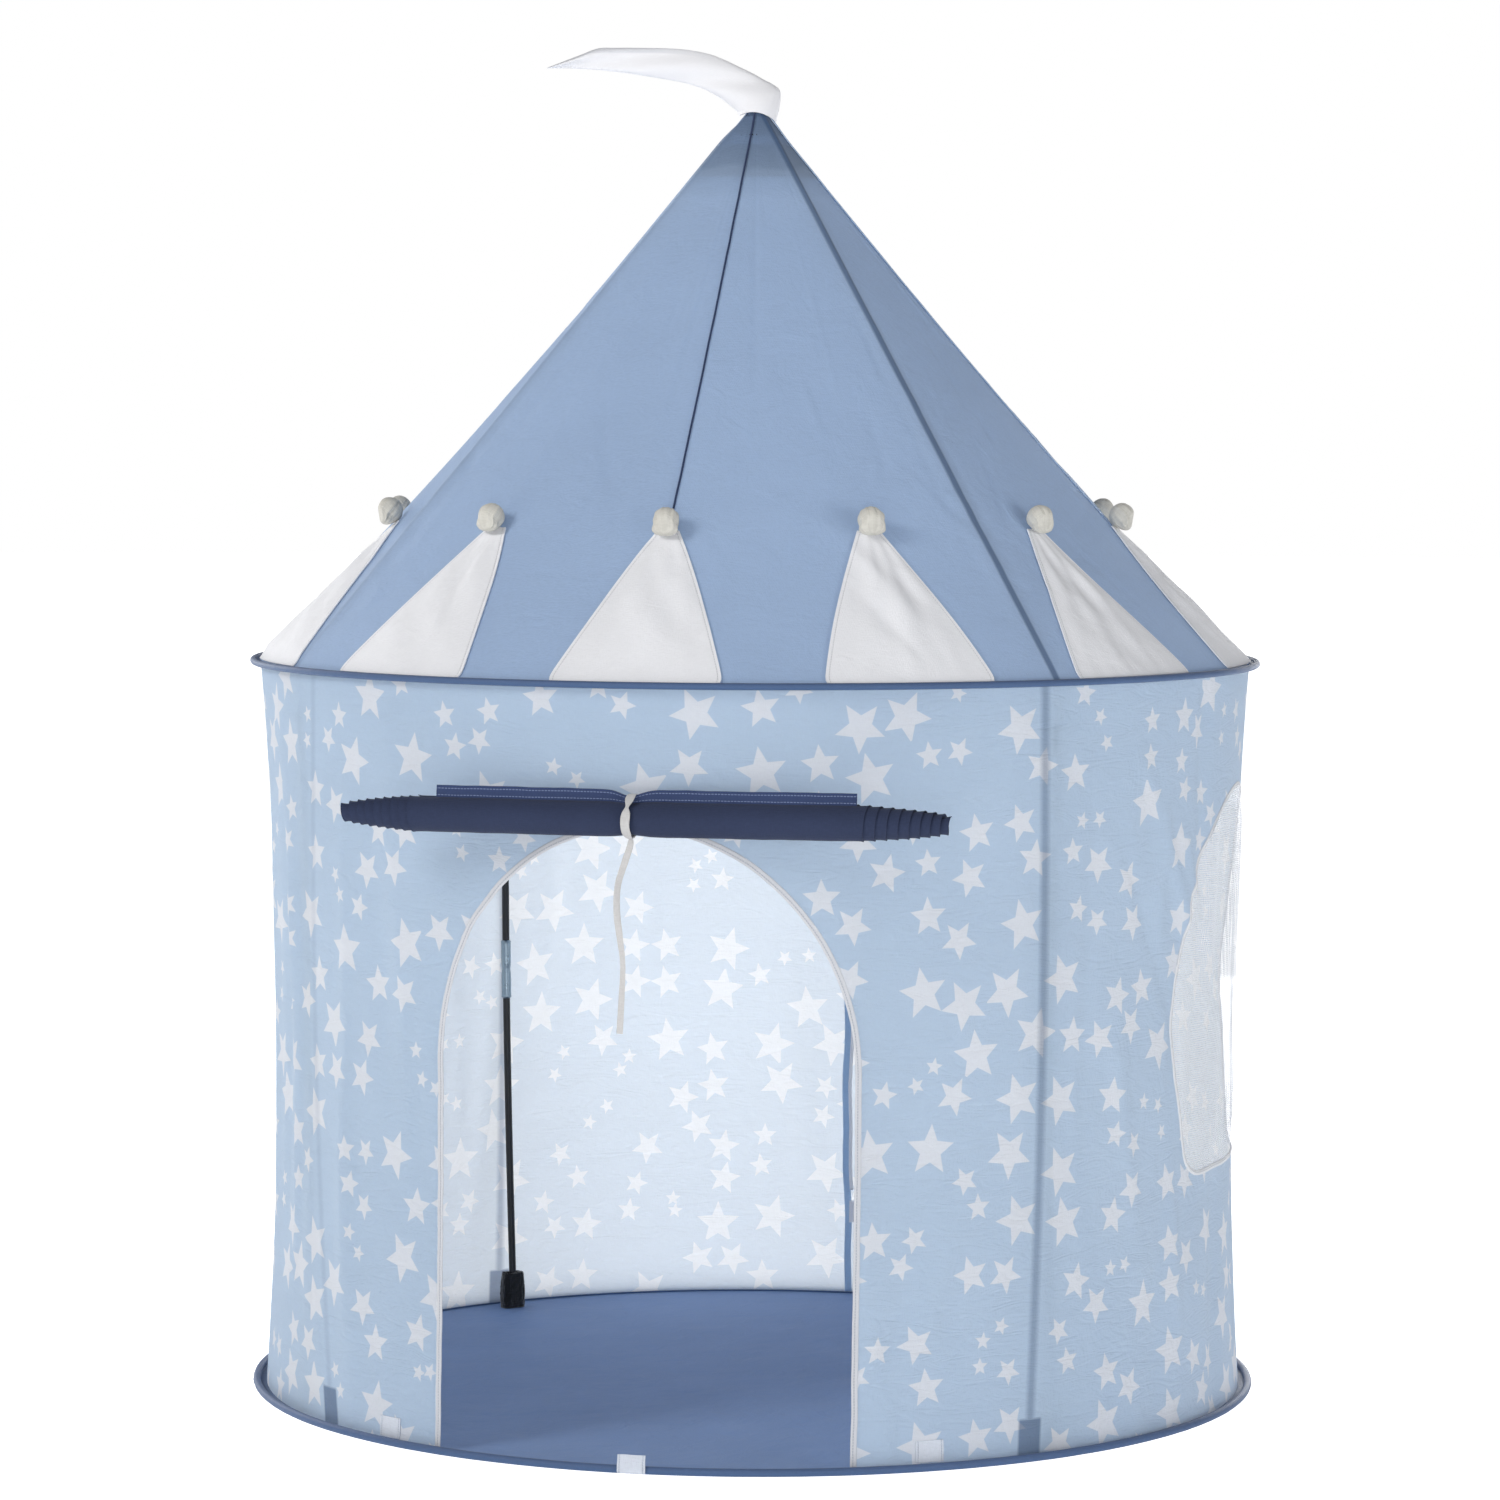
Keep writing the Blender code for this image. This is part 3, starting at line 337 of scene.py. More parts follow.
def swept(stations, section, closed=False):
    """A closed cross-section laid along stations, each a centre, an across and an outward."""
    centres, acrosses, outwards = (np.array([s[k] for s in stations], float) for k in range(3))
    steps = np.linalg.norm(np.diff(centres, axis=0), axis=1)
    along = np.concatenate(([0.0], np.cumsum(steps)))
    shape = np.array(section, float)
    if shape.ndim == 2:
        shape = np.broadcast_to(shape, (len(stations), *shape.shape))
    count = shape.shape[1]
    widest = shape[np.argmax(np.ptp(shape[:, :, 0], axis=1))]
    sides = np.linalg.norm(widest - np.roll(widest, 1, axis=0), axis=1)
    round_it = np.concatenate(([0.0], np.cumsum(np.roll(sides, -1))))

    def place(i, j):
        i = i.astype(int)
        j = j.astype(int) % count
        return (centres[i] + acrosses[i] * shape[i, j, 0][:, None]
                + outwards[i] * shape[i, j, 1][:, None])

    def measure(i, j):
        return along[i.astype(int)], round_it[j.astype(int)]

    bm = laid_grid(range(len(stations)), range(count + 1), place, measure)
    bmesh.ops.remove_doubles(bm, verts=bm.verts, dist=TINY)
    if not closed:
        ends = [edge for edge in bm.edges if edge.is_boundary]
        bmesh.ops.holes_fill(bm, edges=ends, sides=0)
    bmesh.ops.recalc_face_normals(bm, faces=bm.faces)
    return bm


def flat_section(width, thickness, count=12):
    """The rounded outline of a flat tape, across and out."""
    shape = []
    for k in range(count):
        turn = 2 * math.pi * k / count
        across = math.copysign(abs(math.cos(turn)) ** 0.6, math.cos(turn))
        out = math.copysign(abs(math.sin(turn)) ** 0.6, math.sin(turn))
        shape.append((width / 2 * across, thickness / 2 * out))
    return shape


def round_section(radius, count=16):
    """A circle's outline."""
    turns = [2 * math.pi * k / count for k in range(count)]
    return [(radius * math.cos(turn), radius * math.sin(turn)) for turn in turns]


def stations_on(points, outwards):
    """Stations along points: across is square to the way and to each outward direction."""
    spots = np.asarray(points, float)
    outs = np.asarray(outwards, float)
    ways = np.gradient(spots, axis=0)
    ways /= np.linalg.norm(ways, axis=1)[:, None]
    outs = outs - ways * (outs * ways).sum(axis=1)[:, None]
    outs /= np.linalg.norm(outs, axis=1)[:, None]
    return list(zip(spots, np.cross(ways, outs), outs))


def add_piece(name, bm, finish, nodes=(), sharp=None):
    """Makes a bmesh a smooth piece of the tent, riding on its body."""
    mesh = bpy.data.meshes.new(name)
    bm.to_mesh(mesh)
    bm.free()
    mesh.materials.append(material(finish))
    mesh.shade_smooth()
    if sharp:
        mesh.set_sharp_from_angle(angle=math.radians(sharp))
    piece = bpy.data.objects.new(name, mesh)
    bpy.context.scene.collection.objects.link(piece)
    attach(piece, "root")
    if nodes:
        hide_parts(*nodes)
    return piece


def thicken(bm, thickness):
    """Gives an open sheet of cloth its thickness, with its cut edges closed."""
    bm.normal_update()
    bmesh.ops.solidify(bm, geom=bm.faces[:], thickness=thickness)
    bmesh.ops.recalc_face_normals(bm, faces=bm.faces)


# Materials

def add_node(tree, kind, settings=None, **inputs):
    """Adds one node; an input is a value or another node's output, by name or as in_0."""
    node = tree.nodes.new(kind)
    for name, value in (settings or {}).items():
        setattr(node, name, value)
    for name, value in inputs.items():
        key = int(name[3:]) if name.startswith("in_") else name.replace("_", " ")
        if isinstance(value, bpy.types.NodeSocket):
            tree.links.new(value, node.inputs[key])
        else:
            node.inputs[key].default_value = value
    return node


def new_tree(name):
    """A new material with an empty node tree and its output."""
    made = bpy.data.materials.new(name)
    made.use_nodes = True
    made.node_tree.nodes.clear()
    return made, made.node_tree


def cloth_surface(name, dye, light_through=0.0, thread=0.0007, roughness=0.85, sheen=0.15,
                  gloss=0.25, weave=0.5, crumple=0.35, wrinkle=0.0, variance=0.05, pale=0.0,
                  paint=None, veil=None, stitches=()):
    """Woven cloth: threads both ways, a slight crumple, uneven dye, light that comes through, and
    painted shade where one is given.
    """
    made, tree = new_tree(name)
    place = add_node(tree, "ShaderNodeUVMap", {"uv_map": "cloth"}).outputs["UV"]
    spot = add_node(tree, "ShaderNodeTexCoord").outputs["Object"]
    # Threads are finer than the picture can show, so they are drawn as slubs a few times longer
    across = add_node(tree, "ShaderNodeMapping", Vector=place, Scale=(0.14 / thread, 1 / thread, 1))
    upward = add_node(tree, "ShaderNodeMapping", Vector=place, Scale=(1 / thread, 0.14 / thread, 1))
    weft = add_node(tree, "ShaderNodeTexNoise", {"noise_dimensions": "2D"},
                    Vector=across.outputs[0], Scale=1.0, Detail=1.0)
    warp = add_node(tree, "ShaderNodeTexNoise", {"noise_dimensions": "2D"},
                    Vector=upward.outputs[0], Scale=1.0, Detail=1.0)
    threads = add_node(tree, "ShaderNodeMath", {"operation": "ADD"},
                       in_0=weft.outputs["Fac"], in_1=warp.outputs["Fac"])
    creases = add_node(tree, "ShaderNodeTexNoise", Vector=spot, Scale=26.0, Detail=3.0,
                       Roughness=0.55, Distortion=0.8)
    uneven = add_node(tree, "ShaderNodeTexNoise", Vector=spot, Scale=7.0, Detail=2.0)
    clouds = add_node(tree, "ShaderNodeMapRange", Value=uneven.outputs["Fac"], From_Min=0.3,
                      From_Max=0.7, To_Min=1.0 - variance, To_Max=1.0)
    slub = add_node(tree, "ShaderNodeMapRange", Value=threads.outputs[0], From_Min=0.7,
                    From_Max=1.3, To_Min=1.0 - variance, To_Max=1.0)
    shade = add_node(tree, "ShaderNodeMath", {"operation": "MULTIPLY"},
                     in_0=clouds.outputs[0], in_1=slub.outputs[0])
    base = (*dye, 1.0)
    if paint:
        base = paint(tree, place, base)
    tint = add_node(tree, "ShaderNodeVectorMath", {"operation": "SCALE"}, Scale=shade.outputs[0])
    if isinstance(base, bpy.types.NodeSocket):
        tree.links.new(base, tint.inputs[0])
    else:
        tint.inputs[0].default_value = base[:3]
    colour = tint.outputs[0]
    height = add_node(tree, "ShaderNodeBump", Strength=weave, Distance=0.0004,
                      Height=threads.outputs[0])
    bump = add_node(tree, "ShaderNodeBump", Strength=crumple, Distance=0.004,
                    Height=creases.outputs["Fac"], Normal=height.outputs[0])
    normal = bump.outputs[0]
    if wrinkle:
        # Fine wrinkles are the lines where a stretched noise passes through its middle value
        slanted = add_node(tree, "ShaderNodeMapping", Vector=place, Rotation=(0, 0, 0.5),
                           Scale=(16.0, 75.0, 1.0))
        waves = add_node(tree, "ShaderNodeTexNoise", {"noise_dimensions": "2D"},
                         Vector=slanted.outputs[0], Scale=1.0, Detail=2.0, Distortion=1.5)
        lines = add_node(tree, "ShaderNodeMath", {"operation": "PINGPONG"},
                         in_0=waves.outputs["Fac"], in_1=0.5)
        fine = add_node(tree, "ShaderNodeBump", Strength=wrinkle, Distance=0.005,
                        Height=lines.outputs[0], Normal=normal)
        normal = fine.outputs[0]
    if stitches:
        sewn = stitch_rows(tree, stitches)
        dip = add_node(tree, "ShaderNodeBump", Strength=0.8, Distance=0.0006, Height=sewn,
                       Normal=normal)
        normal = dip.outputs[0]
        thread_colour = (*srgb(stitches[0][3]), 1.0)
        sewn_in = add_node(tree, "ShaderNodeMix", {"data_type": "RGBA"}, Factor=sewn,
                           A=(0, 0, 0, 1), B=(0, 0, 0, 1))
        tree.links.new(colour, sewn_in.inputs[6])
        sewn_in.inputs[7].default_value = thread_colour
        colour = sewn_in.outputs[2]
    # Painted shade, where one is given, darkens the colour of the cloth's face
    left = veil(tree) if veil else None
    face = veiled(tree, colour, left) if veil else colour
    surface = add_node(tree, "ShaderNodeBsdfPrincipled", Base_Color=face, Roughness=roughness,
                       Normal=normal)
    surface.inputs["Sheen Weight"].default_value = sheen
    surface.inputs["Specular IOR Level"].default_value = gloss
    out = surface.outputs[0]
    if light_through:
        # Light that comes through thin cloth has lost less of its white than light off its face
        softened = add_node(tree, "ShaderNodeMix", {"data_type": "RGBA"}, in_0=pale)
        tree.links.new(colour, softened.inputs[6])
        softened.inputs[7].default_value = (*srgb("EAEBE9"), 1.0)
        glow = softened.outputs[2]
        # Painted shade also darkens the light that comes through the cloth
        if veil:
            glow = veiled(tree, glow, left)
        through = add_node(tree, "ShaderNodeBsdfTranslucent", Color=glow, Normal=normal)
        out = add_node(tree, "ShaderNodeMixShader", in_0=light_through, in_1=surface.outputs[0],
                       in_2=through.outputs[0]).outputs[0]
    add_node(tree, "ShaderNodeOutputMaterial", Surface=out)
    return made


def veiled(tree, colour, left):
    """Painted shade: a colour with only a share of it left, over the dark blue of cloth that has no
    light behind.
    """
    mixed = add_node(tree, "ShaderNodeMix", {"data_type": "RGBA"}, in_0=left)
    mixed.inputs[6].default_value = (*srgb("3C587F"), 1.0)
    tree.links.new(colour, mixed.inputs[7])
    return mixed.outputs[2]


def stitch_rows(tree, rows):
    """Where the stitches lie: each row is a UV map, a place across it, a length and a colour."""
    total = None
    for uv_name, middle, length, _ in rows:
        place = add_node(tree, "ShaderNodeUVMap", {"uv_map": uv_name}).outputs["UV"]
        parts = add_node(tree, "ShaderNodeSeparateXYZ", Vector=place)
        off = add_node(tree, "ShaderNodeMath", {"operation": "SUBTRACT"},
                       in_0=parts.outputs["Y"], in_1=middle)
        near = add_node(tree, "ShaderNodeMath", {"operation": "ABSOLUTE"}, in_0=off.outputs[0])
        line = add_node(tree, "ShaderNodeMapRange", Value=near.outputs[0], From_Min=0.0003,
                        From_Max=0.0006, To_Min=1.0, To_Max=0.0)
        beat = add_node(tree, "ShaderNodeMath", {"operation": "PINGPONG"},
                        in_0=parts.outputs["X"], in_1=length / 2)
        dash = add_node(tree, "ShaderNodeMapRange", Value=beat.outputs[0], From_Min=length * 0.10,
                        From_Max=length * 0.16, To_Min=0.0, To_Max=1.0)
        stitch = add_node(tree, "ShaderNodeMath", {"operation": "MULTIPLY"},
                          in_0=line.outputs[0], in_1=dash.outputs[0])
        if total:
            stitch = add_node(tree, "ShaderNodeMath", {"operation": "MAXIMUM"},
                              in_0=total, in_1=stitch.outputs[0])
        total = stitch.outputs[0]
    return total


STAR_SCATTER = 0.8


def star_print(tree, place, ground):
    """White stars scattered on the cloth, each turned its own way and as large as fits."""
    spacing = bpy.context.scene.play_tent.star_spacing
    cells = {"voronoi_dimensions": "2D", "feature": "F1"}
    nearest = add_node(tree, "ShaderNodeTexVoronoi", cells, Vector=place, Scale=1 / spacing,
                       Randomness=STAR_SCATTER)
    room = add_node(tree, "ShaderNodeTexVoronoi",
                    {"voronoi_dimensions": "2D", "feature": "N_SPHERE_RADIUS"},
                    Vector=place, Scale=1 / spacing, Randomness=STAR_SCATTER)
    # Four sizes of star, from 9 to 26 mm from middle to tip, by the free room round each
    size = add_node(tree, "ShaderNodeValToRGB", Fac=room.outputs["Radius"])
    ramp = size.color_ramp
    ramp.interpolation = "CONSTANT"
    ramp.elements[0].position = 0.0
    ramp.elements[0].color = (0.172, 0.172, 0.172, 1)
    ramp.elements[1].position = 0.262
    ramp.elements[1].color = (0.262, 0.262, 0.262, 1)
    for limit, radius in ((0.335, 0.362), (0.405, 0.475)):
        step = ramp.elements.new(limit)
        step.color = (radius, radius, radius, 1)
    away = add_node(tree, "ShaderNodeVectorMath", {"operation": "SUBTRACT"}, in_0=place,
                    in_1=nearest.outputs["Position"])
    parts = add_node(tree, "ShaderNodeSeparateXYZ", Vector=away.outputs[0])
    reach = add_node(tree, "ShaderNodeVectorMath", {"operation": "LENGTH"}, in_0=away.outputs[0])
    turn = add_node(tree, "ShaderNodeMath", {"operation": "ARCTAN2"}, in_0=parts.outputs["Y"],
                    in_1=parts.outputs["X"])
    chance = add_node(tree, "ShaderNodeSeparateColor", Color=nearest.outputs["Color"])
    points = add_node(tree, "ShaderNodeMath", {"operation": "MULTIPLY_ADD"}, in_0=turn.outputs[0],
                      in_1=5 / (2 * math.pi), in_2=chance.outputs["Red"])
    half_point = add_node(tree, "ShaderNodeMath", {"operation": "PINGPONG"},
                          in_0=points.outputs[0], in_1=0.5)
    # One side of a point is a straight line from the tip to the notch, 0.45 of the way out
    leaning = add_node(tree, "ShaderNodeMath", {"operation": "MULTIPLY_ADD"},
                       in_0=half_point.outputs[0], in_1=2 * math.pi / 5, in_2=-1.1766)
    side = add_node(tree, "ShaderNodeMath", {"operation": "COSINE"}, in_0=leaning.outputs[0])
    height = add_node(tree, "ShaderNodeMath", {"operation": "MULTIPLY"}, in_0=side.outputs[0],
                      in_1=reach.outputs["Value"])
    edge = add_node(tree, "ShaderNodeMath", {"operation": "MULTIPLY"}, in_0=size.outputs["Color"],
                    in_1=0.384 * spacing)
    inside = add_node(tree, "ShaderNodeMath", {"operation": "SUBTRACT"}, in_0=edge.outputs[0],
                      in_1=height.outputs[0])
    mask = add_node(tree, "ShaderNodeMapRange", Value=inside.outputs[0], From_Min=-0.0002,
                    From_Max=0.0003, To_Min=0.0, To_Max=1.0)
    white = (*bpy.context.scene.play_tent.star_white, 1.0)
    printed = add_node(tree, "ShaderNodeMix", {"data_type": "RGBA"}, Factor=mask.outputs[0])
    printed.inputs[6].default_value = ground
    printed.inputs[7].default_value = white
    return printed.outputs[2]


def rod_shade(tree, near, core, edge, darkest):
    """How dark the painted shadow of a rod makes the cloth, by the distance from it and the piece's
    own strength.
    """
    strength = add_node(tree, "ShaderNodeUVMap", {"uv_map": "shade"}).outputs["UV"]
    share = add_node(tree, "ShaderNodeSeparateXYZ", Vector=strength).outputs["X"]
    rod = add_node(tree, "ShaderNodeMapRange", Value=near, From_Min=core, From_Max=edge,
                   To_Min=darkest, To_Max=0.0)
    return add_node(tree, "ShaderNodeMath", {"operation": "MULTIPLY"}, in_0=rod.outputs[0],
                    in_1=share).outputs[0]


def poles_behind_wall(tree):
    """Painted shade: how much light is left where a pole's shadow or its dark foot pocket shows
    through the thin wall.
    """
    place = add_node(tree, "ShaderNodeUVMap", {"uv_map": "poles"}).outputs["UV"]
    parts = add_node(tree, "ShaderNodeSeparateXYZ", Vector=place)
    one = add_node(tree, "ShaderNodeMath", {"operation": "ABSOLUTE"}, in_0=parts.outputs["X"])
    other = add_node(tree, "ShaderNodeMath", {"operation": "ABSOLUTE"}, in_0=parts.outputs["Y"])
    near = add_node(tree, "ShaderNodeMath", {"operation": "MINIMUM"}, in_0=one.outputs[0],
                    in_1=other.outputs[0]).outputs[0]
    cloth = add_node(tree, "ShaderNodeUVMap", {"uv_map": "cloth"}).outputs["UV"]
    up = add_node(tree, "ShaderNodeSeparateXYZ", Vector=cloth).outputs["Y"]
    # Painted shade of the black foot pocket behind the wall, low down near each pole
    beside = add_node(tree, "ShaderNodeMapRange", Value=near, From_Min=0.0115, From_Max=0.0145,
                      To_Min=0.66, To_Max=0.0)
    above = add_node(tree, "ShaderNodeMapRange", Value=up, From_Min=0.038, From_Max=0.041,
                     To_Min=1.0, To_Max=0.0)
    pocket = add_node(tree, "ShaderNodeMath", {"operation": "MULTIPLY"}, in_0=beside.outputs[0],
                      in_1=above.outputs[0])
    dark = add_node(tree, "ShaderNodeMath", {"operation": "MAXIMUM"}, in_0=pocket.outputs[0],
                    in_1=rod_shade(tree, near, 0.0016, 0.0074, 0.42))
    return add_node(tree, "ShaderNodeMath", {"operation": "SUBTRACT"}, in_0=1.0,
                    in_1=dark.outputs[0]).outputs[0]


def poles_behind_roof(tree):
    """Painted shade: how much light is left where a pole, or the doubled cloth at the top, lies
    behind.
    """
    place = add_node(tree, "ShaderNodeUVMap", {"uv_map": "cloth"}).outputs["UV"]
    parts = add_node(tree, "ShaderNodeSeparateXYZ", Vector=place)
    near = add_node(tree, "ShaderNodeMath", {"operation": "ABSOLUTE"}, in_0=parts.outputs["X"])
    dark = rod_shade(tree, near.outputs[0], 0.0024, 0.0052, 0.70)
    clear = add_node(tree, "ShaderNodeMath", {"operation": "SUBTRACT"}, in_0=1.0, in_1=dark)
    # Painted shade of the doubled cloth: it ends in an uneven edge, and is darker the nearer it is to
    # the top
    sway = add_node(tree, "ShaderNodeTexNoise", Vector=place, Scale=18.0, Detail=1.0)
    reach = add_node(tree, "ShaderNodeMath", {"operation": "MULTIPLY_ADD"},
                     in_0=sway.outputs["Fac"], in_1=0.030, in_2=parts.outputs["Y"])
    hem = ROOF_LENGTH - LINING_DEPTH + 0.015
    lining = add_node(tree, "ShaderNodeMapRange", Value=reach.outputs[0], From_Min=hem - 0.004,
                      From_Max=hem + 0.004, To_Min=1.0, To_Max=0.80)
    top = add_node(tree, "ShaderNodeMapRange", Value=parts.outputs["Y"], From_Min=hem - 0.06,
                   From_Max=ROOF_LENGTH, To_Min=1.0, To_Max=0.32)
    doubled = add_node(tree, "ShaderNodeMath", {"operation": "MULTIPLY"}, in_0=lining.outputs[0],
                       in_1=top.outputs[0])
    return add_node(tree, "ShaderNodeMath", {"operation": "MULTIPLY"}, in_0=clear.outputs[0],
                    in_1=doubled.outputs[0]).outputs[0]


def streamer_hem(tree):
    """Painted shade along the streamer's upper edge, where its cloth is folded over: how much light is
    left there.
    """
    place = add_node(tree, "ShaderNodeUVMap", {"uv_map": "edge"}).outputs["UV"]
    parts = add_node(tree, "ShaderNodeSeparateXYZ", Vector=place)
    band = add_node(tree, "ShaderNodeMapRange", Value=parts.outputs["Y"], From_Min=0.0070,
                    From_Max=0.0095, To_Min=0.17, To_Max=0.0)
    along = add_node(tree, "ShaderNodeMapRange", Value=parts.outputs["X"], From_Min=0.09,
                     From_Max=0.15, To_Min=0.0, To_Max=1.0)
    dark = add_node(tree, "ShaderNodeMath", {"operation": "MULTIPLY"}, in_0=band.outputs[0],
                    in_1=along.outputs[0])
    return add_node(tree, "ShaderNodeMath", {"operation": "SUBTRACT"}, in_0=1.0,
                    in_1=dark.outputs[0]).outputs[0]


def hoop_underside(tree):
    """Painted shade under the two hoops: how much light is left where their sleeves face the ground.
    """
    spot = add_node(tree, "ShaderNodeTexCoord").outputs["Object"]
    up = add_node(tree, "ShaderNodeSeparateXYZ", Vector=spot).outputs["Z"]
    above = add_node(tree, "ShaderNodeMath", {"operation": "MODULO"}, in_0=up,
                     in_1=TOP_HOOP_HEIGHT - HOOP_TUBE)
    return add_node(tree, "ShaderNodeMapRange", Value=above.outputs[0], From_Min=0.0022,
                    From_Max=0.0062, To_Min=0.30, To_Max=1.0).outputs[0]


LINING_DEPTH = 0.082


def printed_cotton(name):
    """Thin plain-woven cotton blend, pale blue with printed white stars; light glows through; painted
    pole shadows.
    """
    return cloth_surface(name, bpy.context.scene.play_tent.wall_blue, light_through=0.45,
                         thread=0.0009, roughness=0.9, crumple=0.60, wrinkle=0.34,
                         variance=0.04, pale=0.8, paint=star_print, veil=poles_behind_wall)


def dyed_cotton(name):
    """The same thin cotton dyed mid blue: matt, finely crumpled, dimly see-through; painted pole
    shadows and top shade.
    """
    return cloth_surface(name, bpy.context.scene.play_tent.roof_blue, light_through=0.30,
                         thread=0.0009, roughness=0.9, crumple=0.45, wrinkle=0.10,
                         variance=0.05, veil=poles_behind_roof)


def door_cotton(name):
    """The door flap's dark blue cotton, wound in many layers so that no light comes through."""
    return cloth_surface(name, bpy.context.scene.play_tent.door_blue, thread=0.0009,
                         sheen=0.06, crumple=0.30, variance=0.10)


def door_hem(name):
    """The flap's hem: dark blue cotton, doubled, with two rows of pale blue stitching."""
    return cloth_surface(name, srgb("364469"), thread=0.0009, sheen=0.06, crumple=0.30,
                         variance=0.10, stitches=(("cloth", 0.0030, 0.0032, "7382A8"),
                                                  ("cloth", 0.0094, 0.0032, "7382A8")))


def floor_polyester(name):
    """Coated polyester ground sheet: mid blue, smooth, slightly glossy, softly rumpled."""
    return cloth_surface(name, srgb("6F89B4"), thread=0.0008, roughness=0.62, sheen=0.05, weave=0.3,
                         crumple=0.5, variance=0.05)


def hoop_cotton(name):
    """The hoops' sleeve of dark blue cotton, drawn tight round a sprung rod, with painted shade
    underneath.
    """
    return cloth_surface(name, srgb("4A6086"), thread=0.0008, roughness=0.6, sheen=0.10, weave=0.2,
                         gloss=0.30, crumple=0.25, variance=0.10, veil=hoop_underside)


def bleached_cotton(name):
    """White cotton in two layers, bright and matt, with a faint weave."""
    return cloth_surface(name, srgb("F8F9FD"), light_through=0.12, thread=0.0009, roughness=0.9,
                         crumple=0.35, variance=0.03,
                         stitches=(("edge", 0.0035, 0.0030, "E2E3E8"),))


def streamer_cotton(name):
    """The streamer's thin white cotton, so light that it glows at its edges, with painted shade along
    its hem.
    """
    return cloth_surface(name, srgb("F0F0F3"), light_through=0.12, thread=0.0009, roughness=0.9,
                         sheen=0.05, weave=0.2, crumple=0.15, variance=0.02, veil=streamer_hem)


def ball_cotton(name):
    """Cream cotton gathered round a stuffed ball, with fine pleats."""
    return cloth_surface(name, srgb("D3D1C9"), thread=0.0012, roughness=0.9, weave=0.8,
                         crumple=0.5, variance=0.12)


def grey_bias_tape(name):
    """Pale grey bias tape, folded round the doorway's edge and stitched once."""
    return cloth_surface(name, srgb("D4D6DC"), light_through=0.10, thread=0.0007, crumple=0.3,
                         variance=0.05, stitches=(("cloth", 0.0045, 0.0028, "B4B9C4"),))


def white_bias_tape(name):
    """White bias tape round the window's edge."""
    return cloth_surface(name, srgb("E8EAEE"), light_through=0.15, thread=0.0007, crumple=0.3,
                         variance=0.05, stitches=(("cloth", 0.0035, 0.0028, "C9CDD6"),))


def twill_tape(name):
    """Off-white cotton twill tape of the tie, with a coarse slanted weave."""
    return cloth_surface(name, srgb("C9C8C8"), thread=0.0010, weave=0.8, crumple=0.3, variance=0.10)


def blue_binding(name):
    """Bright blue binding over the back seam, where light comes through it from behind."""
    return cloth_surface(name, srgb("C2D9F0"), light_through=0.40, thread=0.0008, crumple=0.3,
                         variance=0.06)


def navy_piping(name):
    """Dark navy piping sewn into the roof's front seam."""
    return cloth_surface(name, srgb("2A3A5E"), thread=0.0006, crumple=0.2, variance=0.10)


def hook_tape(name):
    """White hook-and-loop tape: dull, slightly fuzzy, with a stitched edge."""
    return cloth_surface(name, srgb("CFD5E0"), thread=0.0011, weave=1.0, roughness=0.95, variance=0.06,
                         stitches=(("edge", 0.0022, 0.0026, "AEB7C8"),))


def black_fleece(name):
    """Black fleece: deep and dull with a ragged nap that catches a little light."""
    return cloth_surface(name, srgb("17181B"), thread=0.0016, weave=1.0, roughness=1.0, sheen=0.5,
                         crumple=0.9, variance=0.25)


def seam_cotton(name):
    """The roof's felled seams: the same cotton, doubled, with a row of stitches."""
    return cloth_surface(name, bpy.context.scene.play_tent.roof_blue, thread=0.0009,
                         crumple=0.3, variance=0.06,
                         stitches=(("cloth", 0.0022, 0.0030, "8094B8"),))


def window_netting(name):
    """White polyester netting with open cells, about 2 mm apart as the photograph shows."""
    made, tree = new_tree(name)
    place = add_node(tree, "ShaderNodeUVMap", {"uv_map": "cloth"}).outputs["UV"]
    parts = add_node(tree, "ShaderNodeSeparateXYZ", Vector=place)
    threads = []
    for way in ("X", "Y"):
        beat = add_node(tree, "ShaderNodeMath", {"operation": "PINGPONG"},
                        in_0=parts.outputs[way], in_1=NET_CELL / 2)
        line = add_node(tree, "ShaderNodeMapRange", Value=beat.outputs[0],
                        From_Min=NET_CELL * 0.14, From_Max=NET_CELL * 0.20, To_Min=1.0, To_Max=0.0)
        threads.append(line.outputs[0])
    knots = add_node(tree, "ShaderNodeMath", {"operation": "MAXIMUM"}, in_0=threads[0],
                     in_1=threads[1])
    height = add_node(tree, "ShaderNodeBump", Strength=0.6, Distance=0.0004,
                      Height=knots.outputs[0])
    surface = add_node(tree, "ShaderNodeBsdfPrincipled", Roughness=0.6, Alpha=knots.outputs[0],
                       Base_Color=(*srgb("E2E5EA"), 1.0), Normal=height.outputs[0])
    surface.inputs["Specular IOR Level"].default_value = 0.3
    add_node(tree, "ShaderNodeOutputMaterial", Surface=surface.outputs[0])
    return made


NET_CELL = 0.0022


